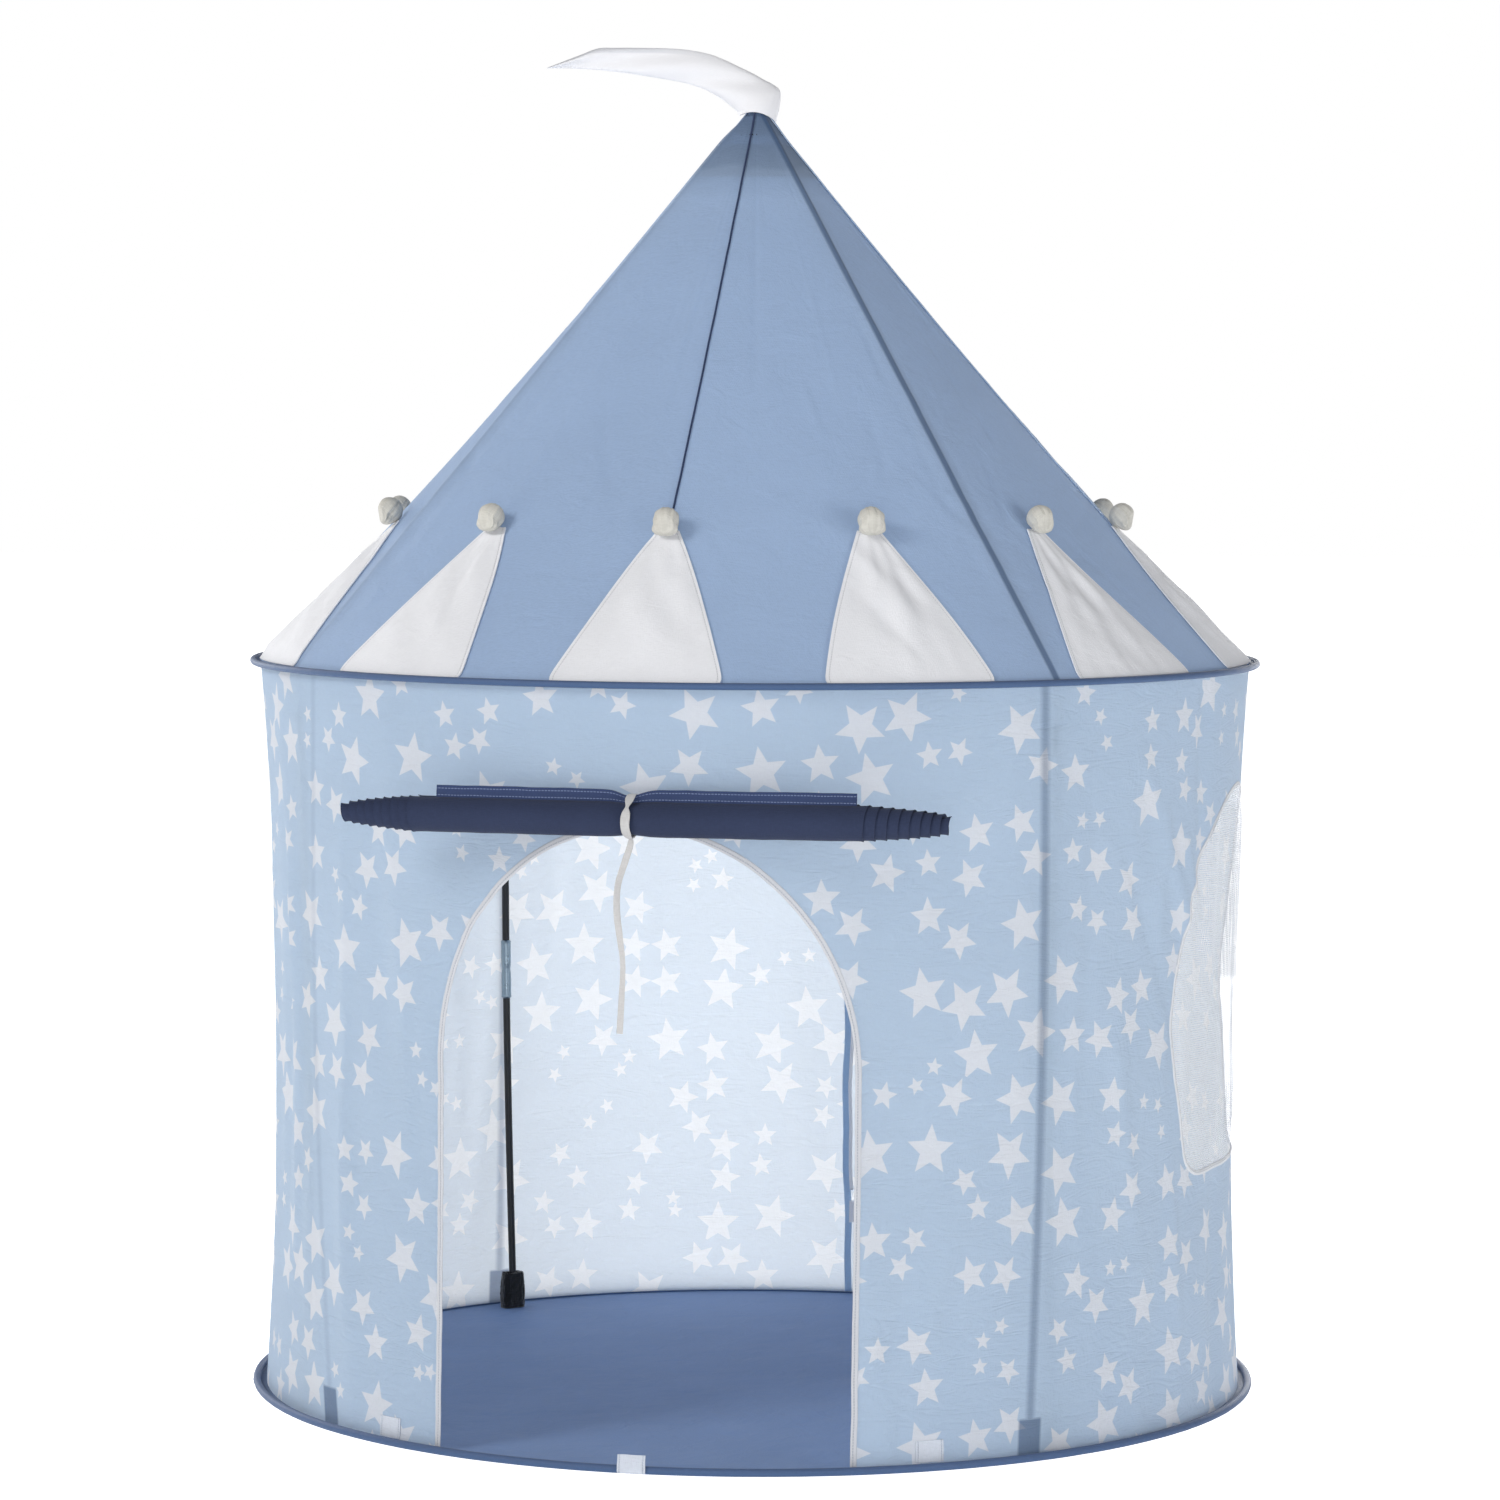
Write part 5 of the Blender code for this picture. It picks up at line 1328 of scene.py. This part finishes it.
def build_streamer():
    """The white streamer: a flattened sock of thin cotton that lifts off to the left."""
    edges = np.array(smooth_rows(STREAMER_EDGES, 110))
    upper = np.stack((edges[:, 0], 0 * edges[:, 0], edges[:, 1]), -1)
    lower = np.stack((edges[:, 2], 0 * edges[:, 2], edges[:, 3]), -1)
    depth = edges[:, 4]
    count = 48

    def place(i, j):
        i = i.astype(int)
        turn = j / count * 2 * np.pi
        middle = (upper[i] + lower[i]) / 2
        half = (upper[i] - lower[i]) / 2
        along = i / (len(edges) - 1)
        out = np.sin(turn)
        ripple = 0.0016 * np.sin(16 * along + 2.5 * np.cos(turn)) * np.clip(along * 3, 0, 1)
        spots = middle + half * np.cos(turn)[:, None]
        spots[:, 1] -= depth[i] * out + ripple * np.abs(np.sin(turn)) ** 0.5
        spots[:, 2] += 0.0060 * np.sin(turn) ** 2 * np.exp(-i / 5.0)
        return spots

    steps = np.linalg.norm(np.diff((upper + lower) / 2, axis=0), axis=1)
    along = np.concatenate(([0.0], np.cumsum(steps)))
    widths = np.linalg.norm(upper - lower, axis=1)

    def measure(i, j):
        return along[i.astype(int)], widths[i.astype(int)] * j / count * 2

    def edge(i, j):
        turn = j / count * 2 * np.pi
        return along[i.astype(int)], widths[i.astype(int)] * (1 - np.cos(turn)) / 2

    bm = laid_grid(range(len(edges)), range(count + 1), place, measure, edge)
    bmesh.ops.remove_doubles(bm, verts=bm.verts, dist=TINY)
    tip = [e for e in bm.edges if e.is_boundary and e.verts[0].co.x < -0.1]
    bmesh.ops.holes_fill(bm, edges=tip, sides=0)
    bmesh.ops.recalc_face_normals(bm, faces=bm.faces)
    bmesh.ops.rotate(bm, verts=bm.verts,
                     matrix=Matrix.Rotation(math.radians(STREAMER_ANGLE), 3, "Z"))
    rumple(bm, 0.0005, 0.03, 23)
    streamer = add_piece("streamer_cloth", bm, "streamer_cotton", ("streamer",))


def smooth_rows(rows, count):
    """Rows of numbers, made smooth and even from a few chosen ones."""
    table = np.array(rows)
    spots = np.vstack((2 * table[0] - table[1], table, 2 * table[-1] - table[-2]))
    made = []
    for k in range(count + 1):
        place = min(k / count * (len(table) - 1), len(table) - 1 - 1e-9)
        n = int(place)
        t = place - n
        a, b, c, d = spots[n:n + 4]
        made.append(0.5 * (2 * b + (c - a) * t + (2 * a - 5 * b + 4 * c - d) * t ** 2
                           + (3 * b - a - 3 * c + d) * t ** 3))
    return made


# Poles and their fittings

POLE_FOOT_RADIUS = 0.479
POLE_HEAD_RADIUS = 0.4975
POLE_BOW = 0.007
POLE_BEND_RADIUS = 0.080
POLE_FOOT_HEIGHT = 0.0056
POLE_END_HEIGHT = 1.299
POLE_UNDER_ROOF = 0.0055
FERRULE_LOW = 0.352
FERRULE_LENGTH = 0.066


def pole_route():
    """A pole's centreline as radius and height: up the wall, round a bend, up the roof."""
    roof_way = Vector((-SLOPE_IN, SLOPE_UP))
    foot = Vector((POLE_FOOT_RADIUS, POLE_FOOT_HEIGHT))
    edge = Vector((ROOF_BASE_RADIUS - POLE_UNDER_ROOF * SLOPE_UP,
                   ROOF_BASE - POLE_UNDER_ROOF * SLOPE_IN))
    corner = edge + roof_way * ((edge.x - POLE_HEAD_RADIUS) / SLOPE_IN)
    wall_way = (corner - foot).normalized()
    bend = wall_way.angle(roof_way)
    reach = POLE_BEND_RADIUS * math.tan(bend / 2)
    start = corner - wall_way * reach
    end = corner + roof_way * reach
    centre = corner + (roof_way - wall_way).normalized() * (POLE_BEND_RADIUS / math.cos(bend / 2))
    route = [bowed(foot, start, k / 40) for k in range(41)]
    for k in range(1, 16):
        spoke = (start - centre).lerp(end - centre, k / 16)
        route.append(centre + spoke.normalized() * POLE_BEND_RADIUS)
    last = end + roof_way * ((POLE_END_HEIGHT - end.y) / SLOPE_UP)
    return route + [end.lerp(last, k / 12) for k in range(13)], foot, start


def bowed(foot, start, share):
    """A point on the pole's lower part, which its load bends out against the wall."""
    return foot.lerp(start, share) + Vector((POLE_BOW * math.sin(math.pi * share), 0.0))


def bar(points, radii, angle, facets=18):
    """A round bar along points of radius and height at one angle, with a radius at each."""
    spots = np.array([polar(p[0], angle, p[1]) for p in points])
    sideways = np.tile(polar(1.0, angle + 90.0, 0.0), (len(spots), 1))
    sections = [round_section(radius, facets) for radius in radii]
    return swept(stations_on(spots, sideways), sections)


def build_poles():
    """Four bent fibreglass poles with ferrules, fleece foot pockets and tape loops."""
    route, foot, start = pole_route()
    for side, angle in POLE_ANGLES.items():
        radii = [0.0034] + [POLE_RADIUS] * (len(route) - 2) + [0.0034]
        bm = bar(route, radii, angle)
        add_piece("rod_" + side, bm, "drawn_fibreglass", ("pole_" + side,),
                  sharp=50)
        ferrule(side, angle, foot, start)
        foot_pocket(side, angle, route)
        pole_loop(side, angle, route)
    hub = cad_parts["crown_hub"]
    for holder in hub.material_slots:
        holder.material = material("moulded_nylon")


def ferrule(side, angle, foot, start):
    """A zinc tube over a pole's joint, with rolled ends and a crimp in the middle."""
    shares = np.linspace(0.0, 1.0, 41)
    points = []
    radii = []
    for share in shares:
        height = FERRULE_LOW + share * FERRULE_LENGTH
        points.append(bowed(foot, start, (height - foot.y) / (start.y - foot.y)))
        end = min(share, 1 - share) * FERRULE_LENGTH
        roll = 0.0004 * math.exp(-((end - 0.0016) / 0.0009) ** 2)
        crimp = 0.0007 * math.exp(-((share - 0.5) / 0.055) ** 2)
        inset = 0.0012 * max(0.0, 1 - end / 0.0006)
        radii.append(0.0054 + roll - crimp - inset)
    bm = bar(points, radii, angle, 24)
    add_piece("ferrule_tube_" + side, bm, "zinc_plate", ("ferrule_" + side,),
              sharp=55)


def foot_pocket(side, angle, route):
    """A fleece pocket sewn to the ground sheet, open at the top for the pole's foot."""
    middle = next(p[0] for p in route if p[1] > 0.0256)
    ring = 40

    def place(turn, step):
        theta = turn / ring * 2 * np.pi
        inner = step > 10
        rise = np.where(inner, 20 - step, step) / 10
        height = np.where(inner, 0.006 + rise * 0.0355, 0.0012 + rise * 0.0400)
        half = np.where(inner, 0.0060, 0.0135)
        deep = np.where(inner, 0.0058, 0.0075)
        across = half * np.sign(np.cos(theta)) * np.abs(np.cos(theta)) ** 0.55
        out = deep * np.sign(np.sin(theta)) * np.abs(np.sin(theta)) ** 0.55
        bulge = np.where(inner, 1.0, 1 + 0.10 * np.sin(np.pi * rise) - 0.10 * rise)
        spots = np.stack((middle + out * bulge, across * bulge, height), -1)
        turned = np.radians(angle)
        return np.stack((spots[:, 0] * np.cos(turned) - spots[:, 1] * np.sin(turned),
                         spots[:, 0] * np.sin(turned) + spots[:, 1] * np.cos(turned),
                         spots[:, 2]), -1)

    bm = laid_grid(range(ring + 1), range(21), place,
                   lambda turn, step: (turn * 0.002, step * 0.004))
    bmesh.ops.remove_doubles(bm, verts=bm.verts, dist=TINY)
    bmesh.ops.holes_fill(bm, edges=[e for e in bm.edges if e.is_boundary], sides=0)
    bmesh.ops.recalc_face_normals(bm, faces=bm.faces)
    bmesh.ops.subdivide_edges(bm, edges=bm.edges, cuts=1, use_grid_fill=True)
    for corner in bm.verts:
        if corner.co.z > 0.002:
            corner.co += 0.0007 * noise.noise_vector(corner.co / 0.0028)
    pocket = add_piece("fleece_pocket_" + side, bm, "black_fleece",
                       ("foot_pocket_" + side,))


def pole_loop(side, angle, route):
    """A short tape loop that holds a pole to the wall, near the top hoop."""
    height = 0.702
    middle = next(p[0] for p in route if p[1] > height)
    wall = float(wall_radius(angle, height)) - 0.0012
    turns = np.linspace(-2.2, 2.2, 25)
    flat = [(wall, 0.0022)]
    flat += [(middle - 0.0054 * math.cos(t), -0.0054 * math.sin(t)) for t in turns]
    flat += [(wall, -0.0022)]
    line = even_steps(flat, 0.0012)
    turned = np.radians(angle)
    spots = np.stack((line[:, 0] * np.cos(turned) - line[:, 1] * np.sin(turned),
                      line[:, 0] * np.sin(turned) + line[:, 1] * np.cos(turned),
                      np.full(len(line), height)), -1)
    ways = np.gradient(spots, axis=0)
    outwards = np.cross(ways, (0.0, 0.0, 1.0))
    bm = swept(stations_on(spots, outwards), flat_section(0.024, 0.0008))
    rumple(bm, 0.0003, 0.01, 31)
    loop = add_piece("pole_loop_" + side, bm, "twill_tape")


# The rolled-up door flap

ROLL_TURNS = 9.0
ROLL_CORE = 0.0076
ROLL_LEFT_TIP = -0.285
ROLL_LEFT = -0.208
ROLL_RIGHT = 0.222
ROLL_RIGHT_TIP = 0.312


def pinch(across):
    """How much the tie squeezes the roll at a place along it, from 0 to 1."""
    return np.exp(-((across - TIE_X) / 0.014) ** 2)


def build_door_roll():
    """The rolled-up door flap with its hem, the tape tied round it and the tape's end."""
    layer = bpy.context.scene.play_tent.flap_thickness
    turns = 2 * math.pi * ROLL_TURNS

    def place(turn, share):
        wound = turn / turns
        radius = ROLL_CORE + (ROLL_RADIUS - 0.0006 - ROLL_CORE) * wound ** 0.65
        left = ROLL_LEFT_TIP + (ROLL_LEFT - ROLL_LEFT_TIP) * wound
        right = ROLL_RIGHT_TIP + (ROLL_RIGHT - ROLL_RIGHT_TIP) * wound ** 1.15
        across = left + (right - left) * share
        lip = np.exp(-(across - left) / 0.0020) + np.exp(-(right - across) / 0.0020)
        slack = np.array([noise.noise(Vector((x / 0.05, math.cos(t) * 1.2, math.sin(t) * 1.2)))
                          for x, t in zip(across, turn)])
        ripple = np.array([noise.noise(Vector((x / 0.014, t / 1.5, 5.0)))
                           for x, t in zip(across, turn)])
        at_left = np.exp(-(across - left) / 0.03)
        radius = radius + 0.0005 * slack + 0.00018 * ripple * (1 + at_left) + 0.0008 * lip
        radius = radius * (1 - 0.10 * pinch(across))
        sag = 0.0012 * np.sin(np.pi * np.clip((across + 0.285) / 0.597, 0, 1))
        out = turn - turns
        return np.stack((across, ROLL_DEPTH - radius * np.sin(out),
                         ROLL_HEIGHT - sag + radius * np.cos(out)), -1)

    def measure(turn, share):
        return share * 0.5, turn * 0.013

    columns = np.linspace(0.0, turns, int(ROLL_TURNS * 26) + 1)
    ends = np.linspace(0.0, 0.016, 9)
    rows = np.concatenate((ends, np.linspace(0.016, 0.984, 101)[1:-1], 1 - ends[::-1]))
    bm = laid_grid(columns, rows, place, measure)
    thicken(bm, layer)
    roll = add_piece("door_flap_rolled", bm, "door_cotton", ("door_roll",), sharp=40)
    door_hem_strip()
    door_tie_band()
    door_tie_tail()


def door_hem_strip():
    """The flap's doubled hem, which stands up from the top of the roll."""
    def place(across, step):
        squeeze = pinch(across)
        wave = np.array([noise.noise(Vector((x / 0.06, s * 0.8, 3.0)))
                         for x, s in zip(across, step)])
        rise = ROLL_RADIUS - 0.0022 - 0.0010 * squeeze + step * (0.0124 - 0.0055 * squeeze)
        sag = 0.0012 * np.sin(np.pi * np.clip((across + 0.285) / 0.597, 0, 1))
        lean = 0.0012 * step * wave + 0.0022 * step - 0.003 * squeeze * step
        return np.stack((across, ROLL_DEPTH - 0.001 + lean, ROLL_HEIGHT - sag + rise), -1)

    bm = laid_grid(np.linspace(-0.190, 0.221, 206), np.linspace(0, 1, 9), place,
                   lambda across, step: (across, step * 0.0124))
    rumple(bm, 0.0004, 0.02, 41)
    thicken(bm, 0.0016)
    hem = add_piece("door_flap_hem", bm, "door_hem", sharp=40)


def door_tie_band():
    """The tape tied round the roll: twisted over the hem, full in front, drawn in below."""
    turns = np.linspace(0.0, 360.0, 97)
    top = np.exp(-((np.mod(turns + 180.0, 360.0) - 180.0) / 30.0) ** 2)
    twist = np.exp(-((turns - 48.0) / 15.0) ** 2)
    knot = np.exp(-((turns - 178.0) / 22.0) ** 2)
    radius = ROLL_RADIUS * 0.93 + 0.0012 + 0.0058 * top + 0.0010 * np.exp(-((turns - 95) / 40) ** 2)
    t = np.radians(turns)
    lean = 0.0016 * top - 0.0012 * np.exp(-((turns - 110) / 40) ** 2)
    spots = np.stack((TIE_X + lean, ROLL_DEPTH - radius * np.sin(t),
                      ROLL_HEIGHT - 0.0012 + radius * np.cos(t)), -1)
    outwards = np.stack((0 * t, -np.sin(t), np.cos(t)), -1)
    sections = [[(a * (1 - 0.60 * w - 0.50 * k), b * (1 + 1.1 * w + 0.8 * k))
                 for a, b in flat_section(0.0088, 0.0011)] for w, k in zip(twist, knot)]
    bm = swept(stations_on(spots, outwards), sections, closed=True)
    rumple(bm, 0.0004, 0.009, 43)
    tie = add_piece("door_tie_band", bm, "twill_tape", ("door_tie",))


# The tail's sway: how far to the side of the tie, and how far down from its top
TAIL_TOP = 0.6116
TAIL_SWAY = ((0.000, 0.000), (-0.0003, 0.006), (-0.0055, 0.022), (-0.0125, 0.045),
             (-0.0135, 0.070), (-0.0105, 0.095), (-0.0075, 0.120), (-0.0085, 0.150),
             (-0.0105, 0.1866))


def door_tie_tail():
    """The tie's free end: a flat tape that hangs with a slow twist and a square-cut end."""
    guide = [(TIE_X + across, ROLL_DEPTH, TAIL_TOP - down) for across, down in TAIL_SWAY]
    route = np.array(smooth_route(guide, 60))
    share = np.linspace(0.0, 1.0, len(route))
    turn = 0.35 * np.sin(share * 5.0) - 0.25 * np.sin(share * 11.0)
    outwards = np.stack((np.sin(turn), -np.cos(turn), 0 * turn), -1)
    gather = 1 - 0.55 * np.exp(-share / 0.05)
    sections = [[(a * g, b * (1.6 - 0.6 * g)) for a, b in flat_section(0.0065, 0.0010)]
                for g in gather]
    bm = swept(stations_on(route, outwards), sections)
    tail = add_piece("door_tie_end", bm, "twill_tape", ("door_tie_tail",), sharp=60)


# Stage

CAMERA_DISTANCE = 5.382
CAMERA_HEIGHT = 1.023
CAMERA_AZIMUTH = 13.08
CAMERA_PITCH = 3.84
CAMERA_ROLL = 0.22
CAMERA_LENS = 123.46
CAMERA_SIDE = -0.005


def area_light(name, place, target, size, power, colour):
    """A soft box that the camera doesn't see."""
    lamp = bpy.data.lights.new(name, "AREA")
    lamp.shape = "RECTANGLE"
    lamp.size, lamp.size_y = size
    lamp.energy = power
    lamp.color = srgb(colour)
    box = bpy.data.objects.new(name, lamp)
    bpy.context.scene.collection.objects.link(box)
    box.location = place
    box.rotation_euler = (Vector(target) - Vector(place)).to_track_quat("-Z", "Y").to_euler()
    box.visible_camera = False
    return box


def build_stage():
    """The white floor, the studio light and the camera at the photograph's angle."""
    scene = bpy.context.scene
    settings = scene.play_tent
    scene.view_settings.view_transform = "Standard"
    scene.view_settings.look = "None"
    world = scene.world or bpy.data.worlds.new("white studio")
    scene.world = world
    world.use_nodes = True
    tree = world.node_tree
    tree.nodes.clear()
    seen = add_node(tree, "ShaderNodeBackground", Color=(1, 1, 1, 1), Strength=1.0)
    light = add_node(tree, "ShaderNodeBackground", Color=(*srgb("FCFDFF"), 1),
                     Strength=settings.surround_light)
    path = add_node(tree, "ShaderNodeLightPath")
    both = add_node(tree, "ShaderNodeMixShader", in_0=path.outputs["Is Camera Ray"],
                    in_1=light.outputs[0], in_2=seen.outputs[0])
    add_node(tree, "ShaderNodeOutputWorld", Surface=both.outputs[0])
    area_light("key_softbox", (-3.4, -4.0, 3.6), (0, 0, 0.8), (2.0, 2.0), settings.key_power,
               "FFFDFA")
    area_light("fill_softbox", (1.0, -5.2, 0.8), (0, 0, 0.4), (1.8, 1.8), settings.fill_power,
               "FAFCFF")
    area_light("right_softbox", (3.8, -2.0, 0.5), (0, 0, 0.4), (1.8, 1.8), settings.right_power,
               "FFFFFF")
    area_light("left_softbox", (-3.6, 2.2, 1.6), (0, 0, 0.6), (2.0, 2.0), settings.left_power,
               "FFFFFF")
    area_light("back_softbox", (0.4, 3.8, 0.9), (0, 0, 0.4), (3.0, 1.6), settings.back_power,
               "FFFFFF")
    bm = bmesh.new()
    bmesh.ops.create_circle(bm, cap_ends=True, segments=96, radius=30.0)
    bmesh.ops.translate(bm, verts=bm.verts, vec=(0, 0, -0.0012))
    mesh = bpy.data.meshes.new("studio_floor")
    bm.to_mesh(mesh)
    bm.free()
    floor = bpy.data.objects.new("studio_floor", mesh)
    scene.collection.objects.link(floor)
    made, tree = new_tree("white studio floor")
    paper = add_node(tree, "ShaderNodeBsdfDiffuse", Color=(*srgb("F4F4F4"), 1))
    ray = add_node(tree, "ShaderNodeLightPath")
    # The table is lit from below for the picture, and throws only a little of that on the tent
    lit = add_node(tree, "ShaderNodeMath", {"operation": "MULTIPLY_ADD"},
                   in_0=ray.outputs["Is Camera Ray"], in_1=0.7, in_2=settings.floor_glow)
    glow = add_node(tree, "ShaderNodeEmission", Color=(1, 1, 1, 1), Strength=lit.outputs[0])
    both = add_node(tree, "ShaderNodeAddShader", in_0=paper.outputs[0], in_1=glow.outputs[0])
    add_node(tree, "ShaderNodeOutputMaterial", Surface=both.outputs[0])
    mesh.materials.append(made)
    lens = bpy.data.cameras.new("catalogue camera")
    lens.lens = CAMERA_LENS
    lens.sensor_width = 36.0
    lens.clip_end = 100.0
    camera = bpy.data.objects.new("catalogue camera", lens)
    scene.collection.objects.link(camera)
    turn = math.radians(CAMERA_AZIMUTH)
    camera.location = (CAMERA_DISTANCE * math.sin(turn) + CAMERA_SIDE * math.cos(turn),
                       -CAMERA_DISTANCE * math.cos(turn) + CAMERA_SIDE * math.sin(turn),
                       CAMERA_HEIGHT)
    aim = (Matrix.Rotation(turn, 4, "Z") @ Matrix.Rotation(math.radians(90 - CAMERA_PITCH), 4, "X")
           @ Matrix.Rotation(math.radians(CAMERA_ROLL), 4, "Z"))
    camera.rotation_euler = aim.to_euler()
    scene.camera = camera


# Add-on

class PlayTentSettings(bpy.types.PropertyGroup):
    """What a user of the tent would change."""
    wall_blue: FloatVectorProperty(
        name="Wall blue", description="Ground colour of the printed wall", subtype="COLOR",
        size=3, min=0.0, max=1.0, default=srgb("BBD1E8"))
    star_white: FloatVectorProperty(
        name="Star white", description="Colour of the printed stars", subtype="COLOR",
        size=3, min=0.0, max=1.0, default=srgb("EFF1F6"))
    roof_blue: FloatVectorProperty(
        name="Roof blue", description="Colour of the roof's cotton", subtype="COLOR",
        size=3, min=0.0, max=1.0, default=srgb("ADC4E3"))
    door_blue: FloatVectorProperty(
        name="Door blue", description="Colour of the rolled-up flap", subtype="COLOR",
        size=3, min=0.0, max=1.0, default=srgb("2C3652"))
    star_spacing: FloatProperty(
        name="Star spacing", description="Mean distance between two stars", subtype="DISTANCE",
        unit="LENGTH", min=0.02, max=0.2, default=0.0548)
    cloth_step: FloatProperty(
        name="Cloth step", description="Size of one square of the modelled cloth",
        subtype="DISTANCE", unit="LENGTH", min=0.004, max=0.02, default=0.007)
    flap_thickness: FloatProperty(
        name="Flap thickness", description="Thickness of one layer of the rolled flap",
        subtype="DISTANCE", unit="LENGTH", min=0.0002, max=0.001, default=0.0006)
    surround_light: FloatProperty(
        name="Surround light", description="Brightness of the white studio round the tent",
        min=0.0, max=3.0, default=0.245)
    floor_glow: FloatProperty(
        name="Floor glow", description="Light that the lit table gives off",
        min=0.0, max=2.0, default=0.52)
    key_power: FloatProperty(
        name="Key light", description="Power of the soft box at the front left",
        subtype="POWER", unit="POWER", min=0.0, max=2000.0, default=152.0)
    fill_power: FloatProperty(
        name="Fill light", description="Power of the soft box low in front",
        subtype="POWER", unit="POWER", min=0.0, max=2000.0, default=51.0)
    right_power: FloatProperty(
        name="Right light", description="Power of the soft box low at the right",
        subtype="POWER", unit="POWER", min=0.0, max=2000.0, default=58.0)
    left_power: FloatProperty(
        name="Left light", description="Power of the soft box behind the tent's left",
        subtype="POWER", unit="POWER", min=0.0, max=2000.0, default=80.0)
    back_power: FloatProperty(
        name="Back light", description="Power of the soft box behind the tent",
        subtype="POWER", unit="POWER", min=0.0, max=2000.0, default=106.0)


class PLAYTENT_OT_wall(bpy.types.Operator):
    """Hang the printed wall between the two hoops"""
    bl_idname = "playtent.wall"
    bl_label = "Wall"

    def execute(self, context):
        build_wall()
        return {"FINISHED"}


class PLAYTENT_OT_openings(bpy.types.Operator):
    """Bind the doorway and the windows and stretch the windows' nets"""
    bl_idname = "playtent.openings"
    bl_label = "Tapes and nets"

    def execute(self, context):
        build_openings()
        return {"FINISHED"}


class PLAYTENT_OT_hoops(bpy.types.Operator):
    """Make the two sprung hoops in their sleeves"""
    bl_idname = "playtent.hoops"
    bl_label = "Hoops"

    def execute(self, context):
        build_hoops()
        return {"FINISHED"}


class PLAYTENT_OT_floor(bpy.types.Operator):
    """Lay the ground sheet with its hook tabs"""
    bl_idname = "playtent.floor"
    bl_label = "Ground sheet and tabs"

    def execute(self, context):
        build_floor()
        return {"FINISHED"}


class PLAYTENT_OT_back_seam(bpy.types.Operator):
    """Bind the back seam and sew in the blank label"""
    bl_idname = "playtent.back_seam"
    bl_label = "Back seam"

    def execute(self, context):
        build_back_seam()
        return {"FINISHED"}


class PLAYTENT_OT_roof(bpy.types.Operator):
    """Stretch the roof's four gores and sew their seams"""
    bl_idname = "playtent.roof"
    bl_label = "Roof"

    def execute(self, context):
        build_roof()
        return {"FINISHED"}


class PLAYTENT_OT_pennants(bpy.types.Operator):
    """Sew on the twelve pennants and their stuffed balls"""
    bl_idname = "playtent.pennants"
    bl_label = "Pennants and balls"

    def execute(self, context):
        build_pennants()
        return {"FINISHED"}


class PLAYTENT_OT_streamer(bpy.types.Operator):
    """Fly the white streamer from the top"""
    bl_idname = "playtent.streamer"
    bl_label = "Streamer"

    def execute(self, context):
        build_streamer()
        return {"FINISHED"}


class PLAYTENT_OT_poles(bpy.types.Operator):
    """Bend the four poles and fit their ferrules, pockets and loops"""
    bl_idname = "playtent.poles"
    bl_label = "Poles and fittings"

    def execute(self, context):
        build_poles()
        return {"FINISHED"}


class PLAYTENT_OT_door_roll(bpy.types.Operator):
    """Roll up the door flap and tie it"""
    bl_idname = "playtent.door_roll"
    bl_label = "Rolled door flap and tie"

    def execute(self, context):
        build_door_roll()
        return {"FINISHED"}


class PLAYTENT_OT_stage(bpy.types.Operator):
    """Set up the white floor, the studio light and the camera"""
    bl_idname = "playtent.stage"
    bl_label = "Stage"

    def execute(self, context):
        build_stage()
        return {"FINISHED"}


class PLAYTENT_PT_tent(bpy.types.Panel):
    """Lists the tent's settings and the steps that make it"""
    bl_label = "Round play tent"
    bl_idname = "PLAYTENT_PT_tent"
    bl_space_type = "VIEW_3D"
    bl_region_type = "UI"
    bl_category = "Play tent"

    def draw(self, context):
        settings = context.scene.play_tent
        for name in PlayTentSettings.__annotations__:
            self.layout.prop(settings, name)
        for step in STEPS:
            self.layout.operator(step.bl_idname)


STEPS = (PLAYTENT_OT_stage, PLAYTENT_OT_door_roll, PLAYTENT_OT_wall, PLAYTENT_OT_openings,
         PLAYTENT_OT_hoops, PLAYTENT_OT_floor, PLAYTENT_OT_back_seam, PLAYTENT_OT_roof,
         PLAYTENT_OT_pennants, PLAYTENT_OT_streamer, PLAYTENT_OT_poles)
CLASSES = (PlayTentSettings, *STEPS, PLAYTENT_PT_tent)


def register():
    """Makes the settings, the steps and the panel known to Blender."""
    for cls in CLASSES:
        bpy.utils.register_class(cls)
    bpy.types.Scene.play_tent = PointerProperty(type=PlayTentSettings)


def unregister():
    """Takes them out again."""
    del bpy.types.Scene.play_tent
    for cls in reversed(CLASSES):
        bpy.utils.unregister_class(cls)


def main():
    """Builds the tent step by step."""
    register()
    for step in STEPS:
        space, name = step.bl_idname.split(".")
        getattr(getattr(bpy.ops, space), name)()
    bpy.context.view_layer.update()


if __name__ == "__main__":
    main()
